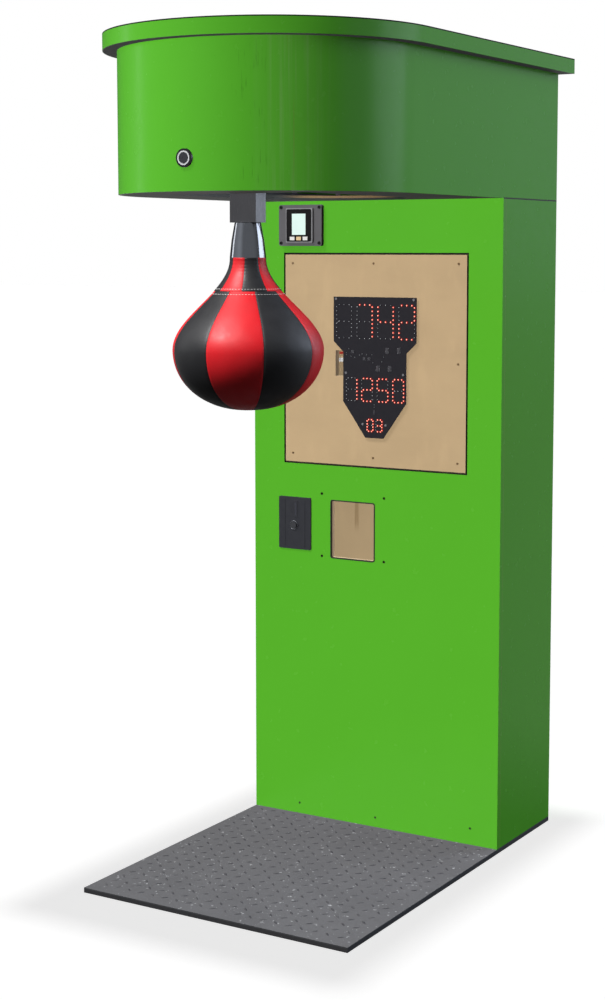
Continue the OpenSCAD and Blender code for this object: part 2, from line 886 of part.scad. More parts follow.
module mains_inlet() {
    color("#1d1d1f")
        difference() {
            union() {
                block([inlet_x, inlet_x] + [-1, 1] * inlet_width / 2,
                    [cabinet_depth - 24, cabinet_depth],
                    [inlet_z, inlet_z] + [-1, 1] * inlet_height / 2);
                upright_plate(inlet_x, inlet_z, inlet_width + 16, inlet_height + 10, 4,
                    [cabinet_depth, cabinet_depth + 2.5]);
            }
            difference() {
                block([socket_x - 12, socket_x + 12],
                    [cabinet_depth - socket_depth, cabinet_depth + 3], [inlet_z - 8, inlet_z + 8]);
                for (k = [-1, 0, 1])
                    block([socket_x + k * 7 - 1, socket_x + k * 7 + 1],
                        [cabinet_depth - socket_depth - 1, cabinet_depth - 3],
                        [inlet_z - 7, inlet_z - 3]);
            }
            block([rocker_x, rocker_x] + [-1, 1] * (rocker_half[0] + 0.4),
                [cabinet_depth - 16, cabinet_depth + 3],
                [inlet_z, inlet_z] + [-1, 1] * (rocker_half[1] + 0.8));
        }
}

// A rocker whose two faces meet in a shallow ridge over its pivot
module inlet_switch() {
    color("#b3261e")
        side_profile(rocker_x - rocker_half[0], rocker_x + rocker_half[0])
            intersection() {
                polygon([
                    [cabinet_depth + 2, inlet_z],
                    [cabinet_depth + 5, inlet_z + rocker_half[1] - 1],
                    [rocker_pivot_y - 6, inlet_z + rocker_half[1] - 4],
                    [rocker_pivot_y - 6, inlet_z - rocker_half[1] + 4],
                    [cabinet_depth, inlet_z - rocker_half[1] + 1]
                ]);
                translate([rocker_pivot_y, inlet_z])
                    circle(r = rocker_half[1]);
            }
}

/* Hood */

start_x = 0;
start_rise = 75;
start_z = cabinet_top + start_rise;
start_radius = 21.5;
start_barrel = 15;
start_ring_radius = 16.5;
start_cap_radius = 12;
start_travel = 3;

module hood_shell() {
    color("#59af2c")
        difference() {
            translate([0, 0, cabinet_top])
                linear_extrude(hood_wall_height)
                    hood_outline(0, cabinet_depth);
            translate([0, 0, cabinet_top - 1])
                linear_extrude(hood_wall_height + 2)
                    hood_outline(-hood_wall, cabinet_depth + 1);
            bar_y(start_x, [-hood_reach - 1, -hood_reach + hood_wall + 2], start_z, start_barrel);
        }
}

module hood_back() {
    color("#4d8546")
        block([hood_wall - half_width, half_width - hood_wall], [back_y, cabinet_depth],
            [cabinet_top, lid_bottom]);
}

opening_side_room = 13;
opening_rear_room = 18;
opening_half = ball_radius + opening_side_room;
opening_y = [-bag_reach - arm_depth / 2 - 29, -swing_gap + opening_rear_room];
opening_round = opening_half + 3;
opening_round_y = opening_y[1] - opening_round;
cable_hole = [120, 60];

// The hole that the arm and the ball swing through, with a round end for the raised ball
module swing_opening() {
    intersection() {
        block([-opening_half, opening_half], opening_y,
            [cabinet_top - 1, hood_inside + 1]);
        union() {
            block([-opening_half - 1, opening_half + 1], [opening_y[0] - 1, opening_round_y],
                [cabinet_top - 1, hood_inside + 1]);
            translate([0, opening_round_y, cabinet_top - 1])
                cylinder(r = opening_round, h = hood_floor_board + 2);
        }
    }
}

module hood_floor() {
    color("#2e3032")
        difference() {
            translate([0, 0, cabinet_top])
                linear_extrude(hood_floor_board)
                    hood_outline(-hood_wall, back_y);
            swing_opening();
            block([-1, 1] * cable_hole[0] / 2,
                [board + 30, board + 30 + cable_hole[1]], [cabinet_top - 1, hood_inside + 1]);
        }
}

lid_board_top = lid_top - lid_sheet;
lid_board_thickness = board;
lid_rim_width = 70;

// A stiff board with a rim glued below it, which sits on the hood's wall
module lid_board() {
    color("#2e3032") {
        translate([0, 0, lid_board_top - lid_board_thickness])
            linear_extrude(lid_board_thickness)
                hood_outline(lid_overhang - lid_band, cabinet_depth + lid_back_overhang - lid_band);
        difference() {
            translate([0, 0, lid_bottom])
                linear_extrude(lid_board_top - lid_board_thickness - lid_bottom)
                    hood_outline(lid_overhang - lid_band,
                        cabinet_depth + lid_back_overhang - lid_band);
            translate([0, 0, lid_bottom - 1])
                linear_extrude(lid_height)
                    hood_outline(lid_overhang - lid_rim_width,
                        cabinet_depth + lid_back_overhang - lid_rim_width);
        }
    }
}

module lid_edge_band() {
    color("#59af2c")
        translate([0, 0, lid_bottom])
            linear_extrude(lid_height - lid_sheet)
                difference() {
                    hood_outline(lid_overhang, cabinet_depth + lid_back_overhang);
                    hood_outline(lid_overhang - lid_band,
                        cabinet_depth + lid_back_overhang - lid_band);
                }
}

module lid_top_sheet() {
    color("#1f2122")
        translate([0, 0, lid_top - lid_sheet])
            linear_extrude(lid_sheet)
                hood_outline(lid_overhang, cabinet_depth + lid_back_overhang);
}

/* Start button */

start_face = -hood_reach - 1.5;

// The space inside one of the hood wall's two curved faces
module hood_round(r) {
    translate([0, hood_centre_y, start_z - 2 * start_radius])
        cylinder(r = r, h = 4 * start_radius, $fn = 96);
}

// A flange seated on the curved wall, a threaded barrel and the nut behind the wall
module button_bezel() {
    color("#1b1b1d")
        difference() {
            union() {
                difference() {
                    bar_y(start_x, [start_face - 4, -hood_reach + 3], start_z, start_radius);
                    hood_round(half_width);
                }
                bar_y(start_x, [start_face, -hood_reach + 45], start_z, start_barrel);
                intersection() {
                    bar_y(start_x, [-hood_reach + hood_wall - 1, -hood_reach + hood_wall + 7],
                        start_z, start_radius);
                    hood_round(half_width - hood_wall);
                }
            }
            bar_y(start_x, [start_face - 5, -hood_reach + 30], start_z, start_cap_radius + 0.3);
            bar_y(start_x, [start_face - 5, start_face - 1.5], start_z, start_ring_radius);
        }
}

module button_ring() {
    color("#c9ccd0")
        difference() {
            bar_y(start_x, [start_face - 5, start_face - 1.5], start_z, start_ring_radius);
            bar_y(start_x, [start_face - 6, start_face], start_z, start_cap_radius + 1.2);
        }
}

module button_cap() {
    color("#232327") {
        bar_y(start_x, [start_face - 5.5, -hood_reach + 20], start_z, start_cap_radius);
        bar_y(start_x, [-hood_reach + 20, -hood_reach + 30 - start_travel - 0.5], start_z, 4);
    }
}

/* Swing mechanism */

bearing_foot = [38, 127, 14];
bearing_bolt_span = 95;
bearing_bolt_radius = 5;
bearing_housing_radius = bearing_radius + 8;
bearing_width = 30;

module bearing_rails() {
    color("#4a4c50")
        for (s = [-1, 1])
            difference() {
                block([-rail_width / 2, rail_width / 2] + [s, s] * rail_offset,
                    [-hood_reach + 190, back_y - 20], [hood_inside, rail_top]);
                for (t = [-1, 1])
                    translate([s * rail_offset, -bag_reach + t * bearing_bolt_span / 2,
                            hood_inside - edge])
                        cylinder(r = bearing_bolt_radius, h = rail_thickness + 2 * edge);
            }
}

// A cast pillow block: a foot with two bolt holes and a round eye
module bearing_housings() {
    color("#3f6b52")
        for (s = [-1, 1])
            difference() {
                union() {
                    block([-1, 1] * bearing_foot[0] / 2 + [s, s] * rail_offset,
                        [-1, 1] * bearing_foot[1] / 2 - [bag_reach, bag_reach],
                        [rail_top, rail_top + bearing_foot[2]]);
                    bar_x([-1, 1] * bearing_width / 2 + [s, s] * rail_offset, -bag_reach, pivot_z,
                        bearing_housing_radius);
                    block([-1, 1] * bearing_width / 2 + [s, s] * rail_offset,
                        [-1, 1] * bearing_housing_radius - [bag_reach, bag_reach],
                        [rail_top, pivot_z]);
                }
                bar_x([-1, 1] * (bearing_width / 2 + 5) + [s, s] * rail_offset, -bag_reach,
                    pivot_z, bearing_radius);
                for (t = [-1, 1])
                    translate([s * rail_offset, -bag_reach + t * bearing_bolt_span / 2,
                            rail_top - edge])
                        cylinder(r = bearing_bolt_radius, h = bearing_foot[2] + 1);
            }
}

module bearing_units() {
    color("#c4c7ca")
        for (s = [-1, 1])
            difference() {
                union() {
                    bar_x([-1, 1] * (bearing_width / 2 - 3) + [s, s] * rail_offset, -bag_reach,
                        pivot_z, bearing_radius - running_play);
                    bar_x([-1, 1] * (bearing_width / 2 + 2) + [s, s] * rail_offset, -bag_reach,
                        pivot_z, shaft_radius + 5);
                }
                bar_x([-1, 1] * (bearing_width / 2 + 3) + [s, s] * rail_offset, -bag_reach,
                    pivot_z, shaft_radius);
            }
}

shaft_half = rail_offset + bearing_width / 2 + 8;
hub_half = arm_width / 2 + 14;
hub_radius = shaft_radius + 5;

module pivot_shaft() {
    color("#c4c7ca")
        bar_x([-shaft_half, shaft_half], -bag_reach, pivot_z, shaft_radius);
}

module swing_arm() {
    color("#5c5e66")
        difference() {
            union() {
                difference() {
                    block([-1, 1] * arm_width / 2,
                        [-1, 1] * arm_depth / 2 - [bag_reach, bag_reach], [arm_bottom, arm_top]);
                    block([-1, 1] * (arm_width / 2 - arm_wall),
                        [-1, 1] * (arm_depth / 2 - arm_wall) - [bag_reach, bag_reach],
                        [arm_bottom + 6, arm_top + edge]);
                }
                bar_x([-hub_half, hub_half], -bag_reach, pivot_z, hub_radius);
            }
            bar_x([-hub_half - 1, hub_half + 1], -bag_reach, pivot_z, shaft_radius);
            translate([0, -bag_reach, arm_bottom - edge])
                cylinder(r = stem_radius, h = 6 + 2 * edge);
        }
}

striker_cheek = 6;
striker_slot = hook_thickness / 2 + 6;
striker_plate = 4;
striker_tip = striker_height + striker_radius + 3;

// Two cheeks on the arm's top end hold the pin that the hook catches
module striker() {
    color("#a4a7ab") {
        block([-1, 1] * arm_width / 2, [-1, 1] * arm_depth / 2 - [bag_reach, bag_reach],
            [arm_top, arm_top + striker_plate]);
        for (s = [-1, 1])
            block([-1, 1] * striker_cheek / 2 + [s, s] * (striker_slot + striker_cheek / 2),
                [-10, 10] - [bag_reach, bag_reach], [arm_top + striker_plate, pivot_z + striker_tip]);
        bar_x([-1, 1] * (striker_slot + striker_cheek), -bag_reach, pivot_z + striker_height,
            striker_radius);
    }
}

// Radius of the ball at a height above its widest level
function shoulder_radius(h) =
    let (t = h / (collar_bottom - ball_level))
    collar_foot_radius + (ball_radius - collar_foot_radius) * (1 + cos(180 * t)) / 2;

shoulder_steps = 14;
shoulder_profile = [
    for (i = [0:shoulder_steps])
        let (h = ball_shoulder * i / shoulder_steps)
        [shoulder_radius(h) - leather * i / shoulder_steps, ball_level + h]
];
skirt_steps = 8;
skirt_profile = [
    for (i = [0:skirt_steps])
        let (h = ball_shoulder + skirt_height * i / skirt_steps)
        [shoulder_radius(h), ball_level + h]
];
bottom_steps = 16;
bottom_fullness = 0.9;
bottom_profile = [
    for (i = [0:bottom_steps - 1])
        let (a = 90 * i / bottom_steps)
        [ball_radius * pow(cos(a), bottom_fullness), ball_level - ball_depth * sin(a)]
];

// A solid of revolution about the bag's axis
module bag_turned(points) {
    translate([0, -bag_reach, 0])
        rotate_extrude($fn = 96)
            polygon(points);
}

module bag_ball() {
    color("#e52b31")
        difference() {
            bag_turned(concat(
                [[0, ball_bottom], [0, skirt_hem]],
                [for (i = [shoulder_steps:-1:0]) shoulder_profile[i]],
                [for (i = [1:bottom_steps - 1]) bottom_profile[i]]
            ));
            bag_turned(filling_points);
            bag_turned([[0, skirt_hem - 10], [stem_radius, skirt_hem - 10],
                [stem_radius, skirt_hem + 1], [0, skirt_hem + 1]]);
        }
}

filling_points = concat(
    [[0, ball_bottom + leather], [0, skirt_hem - leather]],
    [for (i = [shoulder_steps - 1:-1:0])
        [shoulder_profile[i][0] - leather, min(shoulder_profile[i][1], skirt_hem - leather)]],
    [for (i = [1:bottom_steps - 1])
        [bottom_profile[i][0] * (1 - leather / ball_radius),
         bottom_profile[i][1] + leather * sin(90 * i / bottom_steps)]]
);

module bag_filling() {
    color("#b9a987")
        difference() {
            bag_turned(filling_points);
            bag_turned([[0, ball_level], [stem_radius, ball_level],
                [stem_radius, skirt_hem + 1], [0, skirt_hem + 1]]);
        }
}

module bag_skirt() {
    color("#2b2b2d")
        bag_turned(concat(
            skirt_profile,
            [for (i = [skirt_steps:-1:0])
                [skirt_profile[i][0] - leather, skirt_profile[i][1]]]
        ));
}

collar_wall = 4;

module neck_collar() {
    color("#9a9da3")
        bag_turned([
            [stem_radius, arm_bottom],
            [collar_top_radius - 1, arm_bottom],
            [collar_top_radius, arm_bottom - 1],
            [collar_top_radius + 0.62 * (collar_foot_radius - collar_top_radius),
             arm_bottom - 0.5 * collar_height],
            [collar_foot_radius, collar_bottom + 2],
            [collar_foot_radius - leather, collar_bottom],
            [collar_foot_radius - leather - collar_wall, collar_bottom - 20],
            [stem_radius, collar_bottom - 20]
        ]);
}

module bag_stem() {
    color("#8a8d92")
        translate([0, -bag_reach, ball_level])
            cylinder(r = stem_radius, h = arm_bottom + 6 - ball_level);
}

/* Stops, speed sensor and catch */

crossbar_depth = 45;
buffer_reach = 95;
crossbar_y = [-1, 1] * crossbar_depth / 2 - [1, 1] * (bag_reach - buffer_reach);
crossbar_z = [pivot_z + 35, pivot_z + 65];
crossbar_wall = 4;

module stop_crossbar() {
    color("#4a4c50") {
        difference() {
            block([-1, 1] * (rail_offset + rail_width / 2), crossbar_y, crossbar_z);
            block([-1, 1] * (rail_offset + rail_width / 2 + 1),
                [crossbar_y[0] + crossbar_wall, crossbar_y[1] - crossbar_wall],
                [crossbar_z[0] + crossbar_wall, crossbar_z[1] + 1]);
        }
        for (s = [-1, 1])
            block([-1, 1] * (rail_width / 2 - 2) + [s, s] * rail_offset,
                [crossbar_y[0] + 4, crossbar_y[1] - 4], [rail_top, crossbar_z[0]]);
    }
}

buffer_radius = 15;
buffer_y = -bag_reach + buffer_reach;
stop_gap = 0.4;
buffer_near = buffer_reach - buffer_radius;

// Height over the pivot of the raised arm's upper face where it meets the buffer
raised_face = arm_depth / 2 * sin(swing_max)
    - (buffer_near - arm_depth / 2 * cos(swing_max)) / tan(swing_max);
rest_buffer_radius = 8;
rest_buffer_z = hood_inside + 12;
arm_front = -bag_reach - arm_depth / 2;
lip_y = arm_front - 32;

module stop_buffers() {
    color("#18181a") {
        translate([0, buffer_y, pivot_z + raised_face + stop_gap])
            cylinder(r = buffer_radius, h = crossbar_z[0] - pivot_z - raised_face - stop_gap);
        for (s = [-1, 1])
            bar_y(s * (arm_width / 2 - 14), [lip_y, arm_front - stop_gap], rest_buffer_z,
                rest_buffer_radius);
    }
}

disc_x = arm_width / 2 + 70;
disc_thickness = 2;

module speed_disc() {
    color("#b4b7bb")
        difference() {
            union() {
                bar_x([disc_x, disc_x + disc_thickness], -bag_reach, pivot_z, disc_radius);
                bar_x([disc_x - 12, disc_x], -bag_reach, pivot_z, shaft_radius + 8);
            }
            bar_x([disc_x - 13, disc_x + disc_thickness + 1], -bag_reach, pivot_z, shaft_radius);
            for (k = [0:disc_slots - 1])
                translate([disc_x - 1, -bag_reach, pivot_z])
                    rotate([k * 360 / disc_slots, 0, 0])
                        translate([0, -1.5, disc_radius - 14])
                            cube([disc_thickness + 2, 3, 10]);
        }
}

sensor_half = 8;

// A forked light barrier over the disc's rim, held by an arm on the crossbar
module speed_sensor() {
    color("#2a2c30")
        difference() {
            union() {
                block([disc_x + disc_thickness / 2 - sensor_half,
                        disc_x + disc_thickness / 2 + sensor_half],
                    [-bag_reach - 12, -bag_reach + 12],
                    [pivot_z + disc_radius - 16, crossbar_z[1] + 6]);
                block([disc_x + disc_thickness / 2 - sensor_half,
                        disc_x + disc_thickness / 2 + sensor_half],
                    [-bag_reach, crossbar_y[1]], [crossbar_z[1], crossbar_z[1] + 6]);
            }
            block([disc_x - 2, disc_x + disc_thickness + 2], [-bag_reach - 13, -bag_reach + 13],
                [pivot_z + disc_radius - 17, pivot_z + disc_radius + 3]);
        }
}

// The hook's hinge, seen from the pivot
hook_pin = [
    -bag_reach - striker_height * sin(swing_max) - 23.2,
    pivot_z + striker_height * cos(swing_max) + 40.6
];
hook_pin_radius = 4;
bracket_cheek = 4;
bracket_inner = striker_slot + striker_cheek + 2;
bracket_outer = bracket_inner + bracket_cheek;
bracket_front = hook_pin[0] - 105;
shelf_y = [bracket_front, hook_pin[0] - 15];
shelf_z = [hook_pin[1] + hook_lever - 22, hook_pin[1] + hook_lever - 16];
base_plate = 6;

module catch_bracket() {
    color("#6d7074") {
        for (s = [-1, 1])
            side_profile(s > 0 ? bracket_inner : -bracket_outer,
                    s > 0 ? bracket_outer : -bracket_inner)
                polygon([
                    [bracket_front, hood_inside],
                    [lip_y, hood_inside],
                    [lip_y, rest_buffer_z + 8],
                    [hook_pin[0] + 14, hook_pin[1] - 10],
                    [hook_pin[0] + 8, shelf_z[1]],
                    [bracket_front, shelf_z[1]]
                ]);
        block([-bracket_outer - 12, bracket_outer + 12], [bracket_front, lip_y],
            [hood_inside, hood_inside + base_plate]);
        block([-bracket_outer - 12, bracket_outer + 12], [lip_y - 5, lip_y],
            [hood_inside, rest_buffer_z + 8]);
        block([-bracket_outer, bracket_outer], shelf_y, shelf_z);
        bar_x([-bracket_outer, bracket_outer], hook_pin[0], hook_pin[1], hook_pin_radius);
    }
}

fork_half = 3.6;
hook_boss_radius = 9;

// The hook about its hinge, drawn in (y, z) with the striker caught: a toe over the pin,
// a boss on the hinge and a fork for the plunger's pin
module hook_solid() {
    difference() {
        union() {
            side_profile(-hook_thickness / 2, hook_thickness / 2)
                polygon([
                    [-9, hook_lever + 12], [9, hook_lever + 12], [6, 0], [6, -20], [14, -27],
                    [28, -27], [28, -35], [-2, -35], [-6, -26], [-6, 0]
                ]);
            bar_x([-1, 1] * (hook_thickness / 2 + 2), 0, 0, hook_boss_radius);
        }
        bar_x([-1, 1] * hook_thickness, 0, 0, hook_pin_radius + running_play);
        block([-1, 1] * hook_thickness, [-1, 1] * fork_half, [hook_lever - 6, hook_lever + 13]);
    }
}

module catch_hook() {
    color("#b9772b")
        translate([0, hook_pin[0], hook_pin[1]])
            rotate([-hook_angle, 0, 0])
                hook_solid();
}

plunger_pin = [hook_pin[0] + hook_lever * tan(hook_angle), hook_pin[1] + hook_lever];
plunger_pin_radius = 3;
clevis_gap = hook_thickness / 2 + 1;
clevis_cheek = 4;
solenoid_half = 16;
solenoid_y = [hook_pin[0] - 100, hook_pin[0] - 18];

module solenoid_body() {
    color("#3a3c40")
        difference() {
            block([-1, 1] * (solenoid_half + 2), solenoid_y,
                [shelf_z[1], plunger_pin[1] + solenoid_half]);
            bar_y(0, [solenoid_y[0] + 5, solenoid_y[1] + edge], plunger_pin[1],
                plunger_radius + running_play);
        }
}

module solenoid_plunger() {
    color("#c0c3c6") {
        bar_y(0, [plunger_pin[0] - 75, plunger_pin[0] - 14], plunger_pin[1], plunger_radius);
        block([-1, 1] * (clevis_gap + clevis_cheek), [plunger_pin[0] - 18, plunger_pin[0] - 13],
            [plunger_pin[1] - 6, plunger_pin[1] + 6]);
        for (s = [-1, 1])
            block([-1, 1] * clevis_cheek / 2 + [s, s] * (clevis_gap + clevis_cheek / 2),
                [plunger_pin[0] - 13, plunger_pin[0] + 6],
                [plunger_pin[1] - 6, plunger_pin[1] + 6]);
        bar_x([-1, 1] * (clevis_gap + clevis_cheek), plunger_pin[0], plunger_pin[1],
            plunger_pin_radius);
    }
}

base_board();
tread_sheet_cover();
front_panel();
side_panels();
window_trim();
back_frame();
rear_door();
door_frame_hinges();
door_leaf_hinges();
lock_barrel();
lock_cam();
inner_battens();
display_panel();
front_screws();
dot_board();
board_spacers();
lit_dots();
unlit_dots();
wiring_plug();
recess_back_board();
terminal_housing();
terminal_glass();
terminal_screen();
coin_plate();
coin_return_button();
coin_mechanism();
coin_chute();
cash_box();
power_supply();
control_board();
mains_inlet();
inlet_switch();
hood_shell();
hood_back();
hood_floor();
lid_board();
lid_edge_band();
lid_top_sheet();
button_bezel();
button_ring();
button_cap();
bearing_rails();
bearing_housings();
bearing_units();
pivot_shaft();
swing_arm();
striker();
bag_ball();
bag_filling();
bag_skirt();
neck_collar();
bag_stem();
stop_crossbar();
stop_buffers();
speed_disc();
speed_sensor();
catch_bracket();
catch_hook();
solenoid_body();
solenoid_plunger();
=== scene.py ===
# A strength tester machine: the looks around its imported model. Metres, in the model's own frame.
import itertools
import math

import bmesh
import bpy
from mathutils import Matrix, Vector
from mathutils.kdtree import KDTree


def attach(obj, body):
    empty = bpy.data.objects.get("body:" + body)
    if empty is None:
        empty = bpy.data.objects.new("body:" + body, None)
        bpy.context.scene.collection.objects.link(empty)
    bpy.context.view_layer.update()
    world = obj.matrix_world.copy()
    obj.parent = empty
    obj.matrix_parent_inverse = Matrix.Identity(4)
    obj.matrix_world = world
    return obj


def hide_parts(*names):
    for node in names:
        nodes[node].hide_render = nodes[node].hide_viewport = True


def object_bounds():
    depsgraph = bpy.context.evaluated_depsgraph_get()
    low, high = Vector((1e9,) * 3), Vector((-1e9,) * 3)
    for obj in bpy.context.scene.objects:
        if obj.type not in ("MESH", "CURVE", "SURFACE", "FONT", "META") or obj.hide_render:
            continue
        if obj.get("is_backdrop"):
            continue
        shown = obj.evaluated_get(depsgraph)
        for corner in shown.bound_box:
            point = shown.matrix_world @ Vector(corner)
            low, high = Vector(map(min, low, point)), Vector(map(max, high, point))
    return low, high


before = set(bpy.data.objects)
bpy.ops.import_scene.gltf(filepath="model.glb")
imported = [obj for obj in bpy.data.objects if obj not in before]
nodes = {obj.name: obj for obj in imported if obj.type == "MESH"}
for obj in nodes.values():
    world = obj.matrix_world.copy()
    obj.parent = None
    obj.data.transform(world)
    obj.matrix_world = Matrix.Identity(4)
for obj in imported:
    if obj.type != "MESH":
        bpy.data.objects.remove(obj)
cad_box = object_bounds()
scene = bpy.context.scene
scene.view_settings.view_transform = "Standard"

# ---------------------------------------------------------------- camera, floor and light

CAMERA_PLACE = Vector((2.408755, -4.291776, 1.618215))
CAMERA_AZIMUTH = math.radians(31.008)
CAMERA_PITCH = math.radians(5.875)
CAMERA_LENS = 65.12
CAMERA_SHIFT = (-0.0171, -0.0647)

KEY = (-26, 52)
FILL = (137, 16)
PAINT_KEY = (-33.5, 52)
PAINT_FILL = (123, 17)
UNDER = (31, -35)


def direction(azimuth, elevation):
    """From the object towards a place round it: azimuth 0 is the player's side, 90 the right."""
    a, e = math.radians(azimuth), math.radians(elevation)
    return Vector((math.sin(a) * math.cos(e), -math.cos(a) * math.cos(e), math.sin(e)))


def make_camera():
    data = bpy.data.cameras.new("camera")
    data.lens = CAMERA_LENS
    data.shift_x, data.shift_y = CAMERA_SHIFT
    camera = bpy.data.objects.new("camera", data)
    scene.collection.objects.link(camera)
    camera.location = CAMERA_PLACE
    forward = Vector((-math.sin(CAMERA_AZIMUTH) * math.cos(CAMERA_PITCH),
                      math.cos(CAMERA_AZIMUTH) * math.cos(CAMERA_PITCH),
                      -math.sin(CAMERA_PITCH)))
    camera.rotation_mode = "QUATERNION"
    camera.rotation_quaternion = forward.to_track_quat("-Z", "Y")
    scene.camera = camera


def light_group(name, members, state):
    """A list of objects that a lamp lights, or that shade it, or that it leaves out."""
    group = bpy.data.collections.new(name)
    for member in members:
        group.objects.link(member)
    for entry in group.collection_objects:
        entry.light_linking.link_state = state
    return group


def make_light(name, kind, azimuth, elevation, energy, distance=4.0, size=None, angle=None,
               colour=(1, 1, 1), aim=(0, -0.4, 1.4), lights=None, leaves=None, shaded_by=None,
               passes=None, shadow=True):
    """A lamp that lights only some objects or leaves some out, and is shaded by only some."""
    data = bpy.data.lights.new(name, kind)
    data.energy = energy
    data.color = colour
    data.use_shadow = shadow
    if size:
        data.shape = "RECTANGLE"
        data.size, data.size_y = size
    if angle:
        data.angle = math.radians(angle)
    lamp = bpy.data.objects.new(name, data)
    scene.collection.objects.link(lamp)
    away = direction(azimuth, elevation)
    lamp.location = Vector(aim) + away * distance
    lamp.rotation_mode = "QUATERNION"
    lamp.rotation_quaternion = away.to_track_quat("Z", "Y")
    linking = lamp.light_linking
    if lights:
        linking.receiver_collection = light_group(name + "_lights", lights, "INCLUDE")
    if leaves:
        linking.receiver_collection = light_group(name + "_leaves", leaves, "EXCLUDE")
    if shaded_by:
        linking.blocker_collection = light_group(name + "_shades", shaded_by, "INCLUDE")
    if passes:
        linking.blocker_collection = light_group(name + "_passes", passes, "EXCLUDE")


def make_world():
    """Weak sky light, a white backdrop for the camera and a grey room for what is glossy."""
    world = bpy.data.worlds.new("studio")
    scene.world = world
    world.use_nodes = True
    tree = world.node_tree
    output, sky = tree.nodes["World Output"], tree.nodes["Background"]

    def add(kind, **inputs):
        node = tree.nodes.new(kind)
        for name, value in inputs.items():
            node.inputs[name].default_value = value
        return node

    def link(start, end):
        tree.links.new(start, end)

    def math_node(operation, first, second):
        node = add("ShaderNodeMath")
        node.operation = operation
        for k, value in enumerate((first, second)):
            if isinstance(value, bpy.types.NodeSocket):
                link(value, node.inputs[k])
            else:
                node.inputs[k].default_value = value
        return node.outputs[0]

    sky.inputs["Color"].default_value = (0.96, 0.98, 1.0, 1)
    sky.inputs["Strength"].default_value = 0.05
    path = add("ShaderNodeLightPath")
    white = add("ShaderNodeBackground", Color=(1, 1, 1, 1), Strength=1.0)
    room = add("ShaderNodeBackground", Color=(0.93, 0.96, 1.0, 1))
    place = add("ShaderNodeTexCoord")
    strength = 0.07
    for azimuth, low, high, share in ((31, -0.1, 0.8, 0.17), (-52, 0.55, 0.95, 0.3)):
        towards = add("ShaderNodeVectorMath")
        towards.operation = "DOT_PRODUCT"
        link(place.outputs["Generated"], towards.inputs[0])
        towards.inputs[1].default_value = direction(azimuth, 0)
        side = add("ShaderNodeMapRange", **{"From Min": low, "From Max": high, "To Max": share})
        side.interpolation_type = "SMOOTHSTEP"
        link(towards.outputs["Value"], side.inputs["Value"])
        strength = math_node("ADD", side.outputs["Result"], strength)
    link(strength, room.inputs["Strength"])
    mirrored = math_node("MAXIMUM", path.outputs["Is Glossy Ray"],
                         path.outputs["Is Transmission Ray"])
    first, second = add("ShaderNodeMixShader"), add("ShaderNodeMixShader")
    link(mirrored, first.inputs["Fac"])
    link(sky.outputs[0], first.inputs[1])
    link(room.outputs[0], first.inputs[2])
    link(path.outputs["Is Camera Ray"], second.inputs["Fac"])
    link(first.outputs[0], second.inputs[1])
    link(white.outputs[0], second.inputs[2])
    link(second.outputs[0], output.inputs["Surface"])


def make_floor():
    """A pale floor: white in the open, grey in the soft shadow, dim for all but the camera."""
    bm = bmesh.new()
    bmesh.ops.create_grid(bm, x_segments=2, y_segments=2, size=60)
    mesh = bpy.data.meshes.new("floor")
    bm.to_mesh(mesh)
    bm.free()
    floor = bpy.data.objects.new("floor", mesh)
    floor.location = (0, 0, -0.0005)
    scene.collection.objects.link(floor)
    material = bpy.data.materials.new("floor")
    material.use_nodes = True
    tree = material.node_tree
    tree.nodes.clear()
    add, link = tree.nodes.new, tree.links.new
    path, output = add("ShaderNodeLightPath"), add("ShaderNodeOutputMaterial")
    pale, plain = add("ShaderNodeBsdfDiffuse"), add("ShaderNodeBsdfDiffuse")
    glow, lift = add("ShaderNodeEmission"), add("ShaderNodeAddShader")
    behind, mirrored = add("ShaderNodeEmission"), add("ShaderNodeAddShader")
    place, split = add("ShaderNodeTexCoord"), add("ShaderNodeSeparateXYZ")
    ramp, pick = add("ShaderNodeMapRange"), add("ShaderNodeMixShader")
    pale.inputs["Color"].default_value = (0.6, 0.6, 0.6, 1)
    plain.inputs["Color"].default_value = (0.03, 0.03, 0.03, 1)
    glow.inputs["Strength"].default_value = 0.777
    for name, value in (("From Min", 0.3), ("From Max", 1.3), ("To Min", 0.05), ("To Max", 0.28)):
        ramp.inputs[name].default_value = value
    link(place.outputs["Object"], split.inputs[0])
    link(split.outputs[1], ramp.inputs["Value"])
    link(ramp.outputs[0], behind.inputs["Strength"])
    link(plain.outputs[0], mirrored.inputs[0])
    link(behind.outputs[0], mirrored.inputs[1])
    link(pale.outputs[0], lift.inputs[0])
    link(glow.outputs[0], lift.inputs[1])
    link(path.outputs["Is Camera Ray"], pick.inputs["Fac"])
    link(mirrored.outputs[0], pick.inputs[1])
    link(lift.outputs[0], pick.inputs[2])
    link(pick.outputs[0], output.inputs["Surface"])
    mesh.materials.append(material)
    floor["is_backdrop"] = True
    return floor


def make_flag():
    """A studio flag high over the object: only its soft shadow on the floor shows."""
    bm = bmesh.new()
    for x, y in ((-0.494, -0.996), (0.494, -0.996), (0.494, 0.44), (-0.494, 0.44)):
        bm.verts.new((x, y, 6.0))
    bm.faces.new(bm.verts)
    mesh = bpy.data.meshes.new("flag")
    bm.to_mesh(mesh)
    bm.free()
    flag = bpy.data.objects.new("flag", mesh)
    scene.collection.objects.link(flag)
    for kind in ("camera", "diffuse", "glossy", "transmission", "volume_scatter"):
        setattr(flag, "visible_" + kind, False)
    flag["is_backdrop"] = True
    return flag


make_camera()
make_world()
floor = make_floor()
flag = make_flag()

# ---------------------------------------------------------------- materials


def srgb(r, g, b):
    """A colour of 0 to 255 parts as the linear colour that shaders take."""
    parts = [c / 255 / 12.92 if c <= 10 else ((c / 255 + 0.055) / 1.055) ** 2.4 for c in (r, g, b)]
    return (*parts, 1.0)


